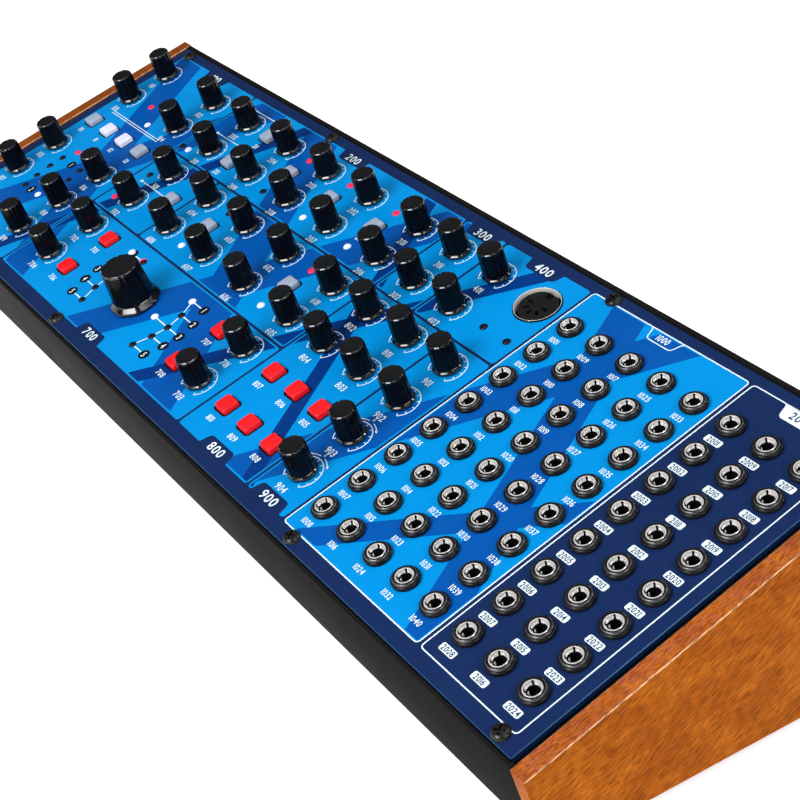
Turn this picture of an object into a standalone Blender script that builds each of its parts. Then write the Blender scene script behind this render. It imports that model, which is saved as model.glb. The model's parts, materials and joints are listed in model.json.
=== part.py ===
"""Semi-modular desktop synthesizer: sloped steel case, printed front panel, wooden cheeks,
turning knobs, push buttons and a field of patch sockets. Metres, +Z up, front towards -Y.
The origin lies under the middle of the case, on the surface that it stands on."""

from math import atan2, cos, pi, radians, sin, sqrt, tan

import bmesh
import bpy
from mathutils import Matrix

MM = 0.001

# Clearance between pieces that touch, and round a piece that moves in a hole
FIT = 0.3 * MM
RUNNING_FIT = 0.12 * MM

# Front panel: thickness, slope and the margins round its rows and columns
PANEL_THICK = 2.0 * MM
PANEL_TILT = radians(20.0)
LEFT_MARGIN = 11.5 * MM
RIGHT_MARGIN = 10.4 * MM
FRONT_MARGIN = 20.0 * MM
REAR_MARGIN = 16.75 * MM

# Knob rows, and the steps between knob columns from right to left
KNOB_ROWS = 6
KNOB_ROW_PITCH = 18.35 * MM
KNOB_STEPS = [21.15 * MM, 21.05 * MM, 21.1 * MM, 30.0 * MM, 27.3 * MM,
              27.5 * MM, 29.3 * MM, 27.5 * MM, 40.6 * MM]

# Patch sockets: five input columns and three output columns of eight
JACK_ROWS = 8
INPUT_COLUMNS = 5
OUTPUT_COLUMNS = 3
JACK_PITCH = 13.3 * MM
JACK_FRONT = 16.0 * MM
INPUT_TO_OUTPUT = 14.3 * MM
KNOB_TO_INPUT = 18.0 * MM
JACK_SIDES = 8
JACK_NUT_R = 4.3 * MM
JACK_TOP_R = 3.35 * MM
JACK_HEIGHT = 2.0 * MM
JACK_BORE_R = 1.8 * MM

# Which columns carry a small knob in each row, rear row first, column 0 at the right
KNOB_LAYOUT = [
    [1, 2, 3, 4, 5, 6, 7, 8, 9],
    [1, 2, 3, 4, 5, 6, 7, 8, 9],
    [0, 1, 2, 3, 4, 5, 6, 7],
    [0, 1, 2, 3, 4, 5, 6, 7, 8, 9],
    [0, 3, 7, 8, 9],
    [0, 3, 7, 8],
]

# Small knob: fluted body over a flared skirt
KNOB_TURN_STEPS = 16
KNOB_SKIRT_R = 5.0 * MM
KNOB_BODY_R = 4.45 * MM
KNOB_TOP_R = 4.15 * MM
KNOB_SKIRT_HEIGHT = 1.6 * MM
KNOB_HEIGHT = 11.0 * MM
KNOB_FLUTE = 0.35 * MM
KNOB_LIFT = 0.5 * MM

# Large knob
BIG_TURN_STEPS = 20
BIG_COLUMN = 5
BIG_ROW = 4.62
BIG_SKIRT_R = 9.35 * MM
BIG_BODY_R = 7.6 * MM
BIG_TOP_R = 6.8 * MM
BIG_SKIRT_HEIGHT = 2.6 * MM
BIG_SKIRT_EDGE = 0.8 * MM
BIG_TOP_EDGE = 0.5 * MM
BIG_HEIGHT = 15.8 * MM
BIG_FLUTE = 0.5 * MM

# Potentiometer shafts and the blind bores of the knobs that they carry
SHAFT_R = 2.25 * MM
SHAFT_SIDES = 6
SHAFT_REACH = 8.0 * MM
BORE_SIDES = 8
HOLE_CLEARANCE = 0.4 * MM

# Square push buttons in their windows
CAP_SIDE = 6.1 * MM
CAP_HEIGHT = 1.9 * MM
CAP_EDGE = 0.4 * MM
CAP_GAP = 0.6 * MM
CAP_FLANGE = 1.1 * MM
CAP_FLANGE_THICK = 0.8 * MM
CAP_TRAVEL = 0.6 * MM
ENVELOPE_COLUMNS = 3
ENVELOPE_PITCH = 13.75 * MM
ENVELOPE_START = 17.3 * MM
SELECTOR_COUNT = 4

# Five-pin socket in the panel, in line with the first knob column
DIN_SIDES = 20
DIN_OUTER_R = 7.8 * MM
DIN_CAVITY_R = 7.2 * MM
DIN_CORE_R = 6.3 * MM
DIN_RISE = 0.6 * MM
DIN_DEPTH = 7.5 * MM
DIN_CORE_DROP = 0.5 * MM

# Control board under the panel
BOARD_DROP = 8.0 * MM
BOARD_THICK = 1.6 * MM
BOARD_SIDE_MARGIN = 4.0 * MM
STANDOFF_R = 2.0 * MM

# Case: bent steel sheet, open at the top, with flanges that the panel lies on
SHEET = 1.2 * MM
PANEL_GAP = 0.4 * MM
RIM_DROP = 0.2 * MM
SIDE_RIM_DROP = 1.8 * MM
FRONT_WALL = 30.9 * MM
FLANGE = 8.0 * MM
FLANGE_TO_BOARD = 1.5 * MM
FOOT_R = 6.0 * MM
FOOT_HEIGHT = 3.0 * MM
FOOT_INSET = 14.0 * MM
FOOT_SIDES = 12

# Wooden cheeks
CHEEK_THICK = 5.6 * MM
CHEEK_LIP = 0.6 * MM
CHEEK_EDGE = 0.4 * MM

# Rear sockets: heights and places from the right end of the case, towards the left
SOCKET_HEIGHT = 41.0 * MM
SOCKET_PROUD = 1.6 * MM
IO_BOARD_GAP = 11.0 * MM
IO_BOARD_THICK = 1.6 * MM
IO_BOARD_HEIGHT = 24.0 * MM
IO_BOARD_MARGIN = 12.0 * MM
INLET_PLACE = 26.0 * MM
INLET_R = 4.4 * MM
INLET_BORE_R = 3.1 * MM
INLET_PIN_R = 1.0 * MM
SWITCH_PLACE = 46.0 * MM
SWITCH_SIZE = (13.4 * MM, 9.6 * MM)
ROCKER_SIZE = (10.6 * MM, 7.0 * MM)
ROCKER_WING = 1.4 * MM
ROCKER_DIP = 0.4 * MM
ROCKER_HEEL = 1.0 * MM
ROCKER_KEEL = 2.2 * MM
ROCKER_GAP = 0.6 * MM
ROCKER_SWING = radians(8.0)
ROCKER_DEPTH = 4.6 * MM
USB_PLACE = 68.0 * MM
USB_SIZE = (12.0 * MM, 10.8 * MM)
USB_HOLLOW = (8.6 * MM, 7.9 * MM)
USB_TONGUE = (5.6 * MM, 3.2 * MM)
THRU_PLACE = 92.0 * MM
PHONE_PLACE = 122.0 * MM
PHONE_PITCH = 25.0 * MM
PHONE_COUNT = 3
PHONE_R = 5.6 * MM
PHONE_BORE_R = 3.3 * MM
SOCKET_SIDES = 14

# Sizes that follow from the ones above
PANEL_WIDTH = (LEFT_MARGIN + sum(KNOB_STEPS) + KNOB_TO_INPUT
               + (INPUT_COLUMNS - 1 + OUTPUT_COLUMNS - 1) * JACK_PITCH
               + INPUT_TO_OUTPUT + RIGHT_MARGIN)
PANEL_DEPTH = FRONT_MARGIN + (KNOB_ROWS - 1) * KNOB_ROW_PITCH + REAR_MARGIN
REAR_GAP = PANEL_GAP + PANEL_THICK * tan(PANEL_TILT)
FLANGE_LEVEL = -(PANEL_THICK + FIT)
BOARD_TOP = -(PANEL_THICK + BOARD_DROP)
CASE_HALF_WIDTH = PANEL_WIDTH / 2 + PANEL_GAP + SHEET
CAVITY_HALF_WIDTH = CASE_HALF_WIDTH - SHEET
CASE_BOTTOM = FOOT_HEIGHT
CUT_PAST = 2.0 * MM

# Height of the panel's top front edge, so that the front wall ends on the case's bottom
FRONT_TOP_V = -(PANEL_GAP + SHEET)
PANEL_ORIGIN_Z = (CASE_BOTTOM + (FRONT_WALL + RIM_DROP) * cos(PANEL_TILT)
                  - FRONT_TOP_V * sin(PANEL_TILT))
REAR_TOP_V = PANEL_DEPTH + REAR_GAP + SHEET
CASE_RUN = (REAR_TOP_V - FRONT_TOP_V) * cos(PANEL_TILT)
PANEL_ORIGIN_Y = -CASE_RUN / 2 - FRONT_TOP_V * cos(PANEL_TILT)


def side_point(v, height):
    """World (y, z) of a point at distance v behind the panel's front edge, height above it."""
    y = PANEL_ORIGIN_Y + v * cos(PANEL_TILT) - height * sin(PANEL_TILT)
    z = PANEL_ORIGIN_Z + v * sin(PANEL_TILT) + height * cos(PANEL_TILT)
    return y, z


CASE_REAR = side_point(REAR_TOP_V, -RIM_DROP)[0]


def clear_scene():
    """Remove what the scene starts with."""
    for item in list(bpy.data.objects):
        bpy.data.objects.remove(item, do_unlink=True)


def make_collection(name):
    """Add a collection to the scene."""
    collection = bpy.data.collections.new(name)
    bpy.context.scene.collection.children.link(collection)
    return collection


def make_material(name, colour, roughness, metallic=0.0):
    """A plain finish in the real piece's colour."""
    material = bpy.data.materials.new(name)
    material.use_nodes = True
    shader = material.node_tree.nodes["Principled BSDF"]
    shader.inputs["Base Color"].default_value = (*colour, 1.0)
    shader.inputs["Roughness"].default_value = roughness
    shader.inputs["Metallic"].default_value = metallic
    material.diffuse_color = (*colour, 1.0)
    return material


def place(name, mesh, collection, material=None, parent=None, location=(0, 0, 0)):
    """Put a mesh into the scene as a named object."""
    item = bpy.data.objects.new(name, mesh)
    collection.objects.link(item)
    item.parent = parent
    item.location = location
    if material and not mesh.materials:
        mesh.materials.append(material)
    return item


def place_cutter(name, mesh, collection, parent=None):
    """Put a mesh into the scene as a hidden tool for cutting or joining."""
    item = place(name, mesh, collection, parent=parent)
    item.hide_render = True
    item.display_type = "WIRE"
    return item


def add_boolean(item, tool, operation):
    """Cut or join a tool, and leave the modifier on the object."""
    modifier = item.modifiers.new(operation.lower(), "BOOLEAN")
    modifier.operation = operation
    modifier.solver = "EXACT"
    modifier.object = tool


def evaluated_mesh(item):
    """The object's mesh after its modifiers, as a mesh of its own."""
    graph = bpy.context.evaluated_depsgraph_get()
    return bpy.data.meshes.new_from_object(item.evaluated_get(graph))


def smooth(mesh, degrees=35):
    """Round faces shaded smooth, edges kept sharp."""
    mesh.shade_smooth()
    mesh.set_sharp_from_angle(angle=radians(degrees))


def stamp_cones(name, points, low_r, high_r, low, high, sides):
    """One mesh with an upright cone or cylinder at each (x, y) point."""
    shape = bmesh.new()
    for x, y in points:
        centre = Matrix.Translation((x, y, (low + high) / 2))
        turn = Matrix.Rotation(pi / sides, 4, "Z")
        bmesh.ops.create_cone(shape, cap_ends=True, segments=sides, radius1=low_r,
                              radius2=high_r, depth=high - low, matrix=centre @ turn)
    mesh = bpy.data.meshes.new(name)
    shape.to_mesh(mesh)
    shape.free()
    return mesh


def stamp_boxes(name, boxes):
    """One mesh with a box for each (low corner, high corner) pair."""
    shape = bmesh.new()
    for low, high in boxes:
        middle = [(a + b) / 2 for a, b in zip(low, high)]
        size = [b - a for a, b in zip(low, high)]
        matrix = Matrix.Translation(middle) @ Matrix.Diagonal((*size, 1.0))
        bmesh.ops.create_cube(shape, size=1.0, matrix=matrix)
    mesh = bpy.data.meshes.new(name)
    shape.to_mesh(mesh)
    shape.free()
    return mesh


def square_boxes(points, side, low, high):
    """Corner pairs of upright square posts at (x, y) points."""
    half = side / 2
    return [((x - half, y - half, low), (x + half, y + half, high)) for x, y in points]


def turned_mesh(name, profile, steps):
    """A solid of revolution about Z from (radius, height) points, outer side from top down."""
    outline = bpy.data.meshes.new(name)
    vertices = [(radius, 0, height) for radius, height in profile]
    edges = [(i, i + 1) for i in range(len(profile) - 1)]
    outline.from_pydata(vertices, edges, [])
    item = bpy.data.objects.new(name, outline)
    bpy.context.scene.collection.objects.link(item)
    screw = item.modifiers.new("turn", "SCREW")
    screw.steps = steps
    screw.render_steps = steps
    screw.use_merge_vertices = True
    screw.merge_threshold = 0.00001
    mesh = evaluated_mesh(item)
    bpy.data.objects.remove(item, do_unlink=True)
    mesh.name = name
    return mesh


def profile_prism(name, outline, x_low, x_high):
    """A solid of constant section: a (y, z) outline drawn out along X."""
    curve = bpy.data.curves.new(name, "CURVE")
    curve.dimensions = "2D"
    curve.fill_mode = "BOTH"
    curve.extrude = (x_high - x_low) / 2
    spline = curve.splines.new("POLY")
    spline.points.add(len(outline) - 1)
    for point, (y, z) in zip(spline.points, outline):
        point.co = (y, z, 0, 1)
    spline.use_cyclic_u = True
    item = bpy.data.objects.new(name, curve)
    bpy.context.scene.collection.objects.link(item)
    mesh = evaluated_mesh(item)
    bpy.data.objects.remove(item, do_unlink=True)
    shape = bmesh.new()
    shape.from_mesh(mesh)
    bmesh.ops.remove_doubles(shape, verts=shape.verts, dist=0.00001)
    upright = Matrix(((0, 0, 1, (x_low + x_high) / 2), (1, 0, 0, 0), (0, 1, 0, 0), (0, 0, 0, 1)))
    bmesh.ops.transform(shape, matrix=upright, verts=shape.verts)
    bmesh.ops.recalc_face_normals(shape, faces=shape.faces)
    shape.to_mesh(mesh)
    shape.free()
    mesh.name = name
    return mesh


def knob_column(index):
    """Place across the panel of a knob column, or of a point between two, from its middle."""
    first = PANEL_WIDTH / 2 - RIGHT_MARGIN - (OUTPUT_COLUMNS - 1) * JACK_PITCH
    first -= INPUT_TO_OUTPUT + (INPUT_COLUMNS - 1) * JACK_PITCH + KNOB_TO_INPUT
    whole = int(index)
    place_x = first - sum(KNOB_STEPS[:whole])
    if index > whole:
        place_x -= KNOB_STEPS[whole] * (index - whole)
    return place_x


def knob_row(index):
    """Distance of a knob row behind the panel's front edge, row 0 at the rear."""
    return PANEL_DEPTH - REAR_MARGIN - index * KNOB_ROW_PITCH


def jack_points():
    """Places of the patch sockets on the panel."""
    first = knob_column(0) + KNOB_TO_INPUT
    columns = [first + i * JACK_PITCH for i in range(INPUT_COLUMNS)]
    start = columns[-1] + INPUT_TO_OUTPUT
    columns += [start + i * JACK_PITCH for i in range(OUTPUT_COLUMNS)]
    rows = [JACK_FRONT + i * JACK_PITCH for i in range(JACK_ROWS)]
    return [(x, y) for x in columns for y in rows]


def knob_points():
    """Names and places of the small knobs."""
    found = []
    for row, columns in enumerate(KNOB_LAYOUT):
        for column in columns:
            name = f"knob_r{row + 1}_c{column + 1}"
            found.append((name, (knob_column(column), knob_row(row))))
    return found


def big_knob_point():
    """Place of the large knob."""
    return knob_column(BIG_COLUMN), knob_row(BIG_ROW)


def envelope_points():
    """Names and places of the two rows of push buttons that move."""
    start = knob_column(0) - ENVELOPE_START
    found = []
    for row in (4, 5):
        for step in range(ENVELOPE_COLUMNS):
            name = f"button_r{row + 1}_{ENVELOPE_COLUMNS - step}"
            found.append((name, (start - step * ENVELOPE_PITCH, knob_row(row))))
    return found


def fixed_button_points():
    """Places of the push buttons that are one piece with the control board."""
    between = [(6.5, 0), (6.5, 1), (5.5, 0.5), (4.5, 0.5), (3.5, 0.5), (6.5, 2.5), (5.5, 2.5),
               (3.5, 2.5), (6.5, 4), (6.5, 5), (3.5, 4), (3.5, 5)]
    found = [(knob_column(column), knob_row(row)) for column, row in between]
    left, right = knob_column(9), knob_column(8)
    for step in range(SELECTOR_COUNT):
        share = step / (SELECTOR_COUNT - 1)
        found.append((left + (right - left) * share, knob_row(2)))
    return found


def standoff_points():
    """Places of the posts between the board and the panel, clear of knobs and sockets."""
    columns = [(knob_column(8) + knob_column(9)) / 2, knob_column(0) + KNOB_TO_INPUT / 2,
               PANEL_WIDTH / 2 - RIGHT_MARGIN - (OUTPUT_COLUMNS - 1) * JACK_PITCH
               - INPUT_TO_OUTPUT / 2]
    rows = [knob_row(0.5), knob_row(3.5)]
    return [(x, y) for x in columns for y in rows]


def circumscribed(radius, sides):
    """Corner radius of a many-sided hole whose flats clear a round of the given radius."""
    return radius / cos(pi / sides)


def press_flutes(mesh, above, depth, steps):
    """Draw every second column of a turned mesh inwards, above the skirt."""
    for vertex in mesh.vertices:
        radius = sqrt(vertex.co.x ** 2 + vertex.co.y ** 2)
        column = round(atan2(vertex.co.y, vertex.co.x) / (2 * pi / steps))
        if vertex.co.z > above and radius > depth and column % 2:
            vertex.co.x *= (radius - depth) / radius
            vertex.co.y *= (radius - depth) / radius


def bored_knob(name, profile, steps, flute, skirt_top, cutters):
    """A fluted knob with the blind bore that fits over its shaft."""
    mesh = turned_mesh(name, profile, steps)
    press_flutes(mesh, skirt_top, flute, steps)
    blank = place(name + "_blank", mesh, cutters)
    bore_r = circumscribed(SHAFT_R + RUNNING_FIT, BORE_SIDES)
    depth = SHAFT_REACH + FIT
    bore = stamp_cones(name + "_bore", [(0, 0)], bore_r, bore_r, KNOB_LIFT - CUT_PAST, depth,
                       BORE_SIDES)
    tool = place_cutter(name + "_bore", bore, cutters)
    add_boolean(blank, tool, "DIFFERENCE")
    finished = evaluated_mesh(blank)
    finished.name = name
    bpy.data.objects.remove(blank, do_unlink=True)
    smooth(finished)
    return finished


def make_knobs(parts, cutters, frame, black):
    """All turning knobs, each on its own axis."""
    low = KNOB_LIFT
    body = low + KNOB_SKIRT_HEIGHT
    top = low + KNOB_HEIGHT
    profile = [(0, top), (KNOB_TOP_R, top), (KNOB_BODY_R, body), (KNOB_SKIRT_R, low), (0, low)]
    small = bored_knob("small_knob", profile, KNOB_TURN_STEPS, KNOB_FLUTE,
                       (low + body) / 2, cutters)
    for name, (x, y) in knob_points():
        place(name, small, parts, black, frame, (x, y, 0))

    body = low + BIG_SKIRT_HEIGHT
    top = low + BIG_HEIGHT
    profile = [(0, top), (BIG_TOP_R - BIG_TOP_EDGE, top), (BIG_TOP_R, top - BIG_TOP_EDGE),
               (BIG_BODY_R, body), (BIG_SKIRT_R, low + BIG_SKIRT_EDGE), (BIG_SKIRT_R, low),
               (0, low)]
    large = bored_knob("large_knob", profile, BIG_TURN_STEPS, BIG_FLUTE,
                       (low + BIG_SKIRT_EDGE + body) / 2, cutters)
    x, y = big_knob_point()
    place("large_knob", large, parts, black, frame, (x, y, 0))


def make_buttons(parts, frame, red):
    """Square caps held under the panel by a flange, each free to be pressed."""
    corner = sqrt(2)
    half = CAP_SIDE / 2
    flange_top = -(PANEL_THICK + FIT)
    flange_low = flange_top - CAP_FLANGE_THICK
    profile = [(0, CAP_HEIGHT), ((half - CAP_EDGE) * corner, CAP_HEIGHT),
               (half * corner, CAP_HEIGHT - CAP_EDGE), (half * corner, flange_top),
               ((half + CAP_FLANGE) * corner, flange_top),
               ((half + CAP_FLANGE) * corner, flange_low), (0, flange_low)]
    cap = turned_mesh("button_cap", profile, 4)
    cap.transform(Matrix.Rotation(pi / 4, 4, "Z"))
    for name, (x, y) in envelope_points():
        place(name, cap, parts, red, frame, (x, y, 0))


def make_panel(parts, cutters, frame, blue):
    """The printed panel with the sockets' nuts and every opening."""
    half = PANEL_WIDTH / 2
    plate = stamp_boxes("front_panel", [((-half, 0, -PANEL_THICK), (half, PANEL_DEPTH, 0))])
    panel = place("front_panel", plate, parts, blue, frame)
    buttons = [point for _, point in envelope_points()] + fixed_button_points()

    below = -PANEL_THICK - CUT_PAST
    windows = stamp_boxes("cap_windows", square_boxes(buttons, CAP_SIDE + 2 * CAP_GAP,
                                                      below, CUT_PAST))
    add_boolean(panel, place_cutter("cap_windows", windows, cutters, frame), "DIFFERENCE")
    hole_r = SHAFT_R + HOLE_CLEARANCE
    shafts = [point for _, point in knob_points()] + [big_knob_point()]
    holes = stamp_cones("shaft_holes", shafts, hole_r, hole_r, below, CUT_PAST, SHAFT_SIDES)
    add_boolean(panel, place_cutter("shaft_holes", holes, cutters, frame), "DIFFERENCE")
    din = (knob_column(0), knob_row(0))
    din_r = DIN_OUTER_R + FIT
    opening = stamp_cones("din_window", [din], din_r, din_r, below, CUT_PAST, DIN_SIDES)
    add_boolean(panel, place_cutter("din_window", opening, cutters, frame), "DIFFERENCE")

    nuts = stamp_cones("jack_nuts", jack_points(), JACK_NUT_R, JACK_TOP_R, 0, JACK_HEIGHT,
                       JACK_SIDES)
    shape = bmesh.new()
    shape.from_mesh(nuts)
    for vertex in shape.verts:
        if vertex.co.z < JACK_HEIGHT / 2:
            vertex.co.z = -PANEL_THICK / 2
    shape.to_mesh(nuts)
    shape.free()
    add_boolean(panel, place_cutter("jack_nuts", nuts, cutters, frame), "UNION")
    bores = stamp_cones("jack_bores", jack_points(), JACK_BORE_R, JACK_BORE_R, below,
                        JACK_HEIGHT + CUT_PAST, JACK_SIDES)
    add_boolean(panel, place_cutter("jack_bores", bores, cutters, frame), "DIFFERENCE")


def make_control_board(parts, cutters, frame, green):
    """The board behind the panel with shafts, fixed buttons, switch bodies and stand-offs."""
    half = PANEL_WIDTH / 2 - BOARD_SIDE_MARGIN
    margin = FLANGE + FLANGE_TO_BOARD
    low = BOARD_TOP - BOARD_THICK
    plate = stamp_boxes("control_board", [((-half, margin, low),
                                           (half, PANEL_DEPTH - margin, BOARD_TOP))])
    board = place("control_board", plate, parts, green, frame)

    sunk = BOARD_TOP - BOARD_THICK / 2
    points = [point for _, point in knob_points()] + [big_knob_point()]
    shafts = stamp_cones("shafts", points, SHAFT_R, SHAFT_R, sunk, SHAFT_REACH, SHAFT_SIDES)
    add_boolean(board, place_cutter("shafts", shafts, cutters, frame), "UNION")
    caps = stamp_boxes("fixed_caps", square_boxes(fixed_button_points(), CAP_SIDE, sunk,
                                                  CAP_HEIGHT))
    add_boolean(board, place_cutter("fixed_caps", caps, cutters, frame), "UNION")
    flange_low = -(PANEL_THICK + FIT) - CAP_FLANGE_THICK
    switch_top = flange_low - CAP_TRAVEL - FIT / 2
    switches = square_boxes([point for _, point in envelope_points()], CAP_SIDE, sunk, switch_top)
    add_boolean(board, place_cutter("switches", stamp_boxes("switches", switches), cutters,
                                    frame), "UNION")
    posts = stamp_cones("standoffs", standoff_points(), STANDOFF_R, STANDOFF_R, sunk,
                        -(PANEL_THICK + FIT), SHAFT_SIDES)
    add_boolean(board, place_cutter("standoffs", posts, cutters, frame), "UNION")


def make_din_socket(parts, cutters, frame, black):
    """The five-pin socket: a round shell with a groove round its insulating core."""
    seat = BOARD_TOP + FIT
    profile = [(0, -DIN_CORE_DROP), (DIN_CORE_R, -DIN_CORE_DROP), (DIN_CORE_R, -DIN_DEPTH),
               (DIN_CAVITY_R, -DIN_DEPTH), (DIN_CAVITY_R, DIN_RISE), (DIN_OUTER_R, DIN_RISE),
               (DIN_OUTER_R, seat), (0, seat)]
    shell = turned_mesh("midi_in_socket", profile, DIN_SIDES)
    smooth(shell)
    place("midi_in_socket", shell, parts, black, frame, (knob_column(0), knob_row(0), 0))


def case_outline():
    """Outer (y, z) outline of the case, from its front top corner round."""
    bottom = side_point(FRONT_TOP_V, -RIM_DROP - FRONT_WALL)
    return [side_point(FRONT_TOP_V, -RIM_DROP), bottom, (CASE_REAR, CASE_BOTTOM),
            side_point(REAR_TOP_V, -RIM_DROP)]


def cavity_outline():
    """Hollow of the case: panel recess on top, flanges left standing, room for the boards."""
    front = -PANEL_GAP
    under = FLANGE_LEVEL - SHEET
    rear_y = CASE_REAR - SHEET
    floor_z = CASE_BOTTOM + SHEET
    slope = tan(PANEL_TILT)
    lip = PANEL_DEPTH + PANEL_GAP - FLANGE

    def rear_at(height):
        y_edge, z_edge = side_point(lip, height)
        return rear_y, z_edge + (rear_y - y_edge) * slope

    floor_height = (floor_z - PANEL_ORIGIN_Z - front * sin(PANEL_TILT)) / cos(PANEL_TILT)
    above = side_point(PANEL_DEPTH, 3 * CUT_PAST)
    return [side_point(front, CUT_PAST), side_point(front, FLANGE_LEVEL),
            side_point(front + FLANGE, FLANGE_LEVEL), side_point(front + FLANGE, under),
            side_point(front, under), side_point(front, floor_height), (rear_y, floor_z),
            rear_at(under), side_point(lip, under), side_point(lip, FLANGE_LEVEL),
            rear_at(FLANGE_LEVEL), (rear_y, above[1])]


def socket_x(place_from_right):
    """Place across the case of a rear socket."""
    return CASE_HALF_WIDTH - place_from_right


def rear_rounds():
    """Round rear sockets as (place, body radius)."""
    found = [(socket_x(INLET_PLACE), INLET_R), (socket_x(THRU_PLACE), DIN_OUTER_R)]
    for index in range(PHONE_COUNT):
        found.append((socket_x(PHONE_PLACE + index * PHONE_PITCH), PHONE_R))
    return found


def rear_cylinder(name, places, low_y, high_y, extra=0.0):
    """Cylinders that point to the rear, through the rear wall."""
    shape = bmesh.new()
    for x, radius in places:
        centre = Matrix.Translation((x, (low_y + high_y) / 2, SOCKET_HEIGHT))
        lie = Matrix.Rotation(pi / 2, 4, "X")
        bmesh.ops.create_cone(shape, cap_ends=True, segments=SOCKET_SIDES,
                              radius1=radius + extra, radius2=radius + extra,
                              depth=high_y - low_y, matrix=centre @ lie)
    mesh = bpy.data.meshes.new(name)
    shape.to_mesh(mesh)
    shape.free()
    return mesh


def rear_box(x, size, low_y, high_y, extra=0.0):
    """Corner pair of a box that points to the rear, centred on the sockets' height."""
    half_x = size[0] / 2 + extra
    half_z = size[1] / 2 + extra
    return ((x - half_x, low_y, SOCKET_HEIGHT - half_z), (x + half_x, high_y,
                                                          SOCKET_HEIGHT + half_z))


def make_case(parts, cutters, frame, steel):
    """The bent steel case with its feet and the cut-outs of its rear wall."""
    block = profile_prism("case_tray", case_outline(), -CASE_HALF_WIDTH, CASE_HALF_WIDTH)
    case = place("case_tray", block, parts, steel)
    hollow = profile_prism("case_hollow", cavity_outline(), -CAVITY_HALF_WIDTH,
                           CAVITY_HALF_WIDTH)
    add_boolean(case, place_cutter("case_hollow", hollow, cutters), "DIFFERENCE")

    outer = CASE_HALF_WIDTH + CUT_PAST
    inner = CAVITY_HALF_WIDTH - CUT_PAST
    lowered = stamp_boxes("side_rims", [
        ((-outer, 0, -SIDE_RIM_DROP), (-inner, PANEL_DEPTH, CUT_PAST)),
        ((inner, 0, -SIDE_RIM_DROP), (outer, PANEL_DEPTH, CUT_PAST))])
    add_boolean(case, place_cutter("side_rims", lowered, cutters, frame), "DIFFERENCE")

    wall = CASE_REAR - SHEET - CUT_PAST
    past = CASE_REAR + CUT_PAST
    rounds = rear_cylinder("rear_round_holes", rear_rounds(), wall, past, FIT)
    add_boolean(case, place_cutter("rear_round_holes", rounds, cutters), "DIFFERENCE")
    squares = stamp_boxes("rear_square_holes", [
        rear_box(socket_x(SWITCH_PLACE), SWITCH_SIZE, wall, past, FIT),
        rear_box(socket_x(USB_PLACE), USB_SIZE, wall, past, FIT)])
    add_boolean(case, place_cutter("rear_square_holes", squares, cutters), "DIFFERENCE")

    front = case_outline()[1][0] + FOOT_INSET
    rear = CASE_REAR - FOOT_INSET
    side = CASE_HALF_WIDTH - FOOT_INSET
    spots = [(x, y) for x in (-side, side) for y in (front, rear)]
    feet = stamp_cones("feet", spots, FOOT_R, FOOT_R, 0, CASE_BOTTOM + SHEET / 2, FOOT_SIDES)
    add_boolean(case, place_cutter("feet", feet, cutters), "UNION")


def make_cheeks(parts, wood):
    """The wooden cheeks, a little larger than the case's section."""
    bottom = side_point(FRONT_TOP_V - CHEEK_LIP, -RIM_DROP - FRONT_WALL)
    slant = (bottom[1] - CASE_BOTTOM) / cos(PANEL_TILT)
    outline = [side_point(FRONT_TOP_V - CHEEK_LIP, -RIM_DROP),
               side_point(FRONT_TOP_V - CHEEK_LIP, -RIM_DROP - FRONT_WALL - slant),
               (CASE_REAR + CHEEK_LIP, CASE_BOTTOM),
               side_point(REAR_TOP_V + CHEEK_LIP / cos(PANEL_TILT), -RIM_DROP)]
    inner = CASE_HALF_WIDTH + FIT
    spans = {"left_cheek": (-inner - CHEEK_THICK, -inner), "right_cheek": (inner,
                                                                           inner + CHEEK_THICK)}
    for name, (low, high) in spans.items():
        cheek = place(name, profile_prism(name, outline, low, high), parts, wood)
        edge = cheek.modifiers.new("eased_edges", "BEVEL")
        edge.width = CHEEK_EDGE
        edge.segments = 1
        edge.limit_method = "ANGLE"


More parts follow.
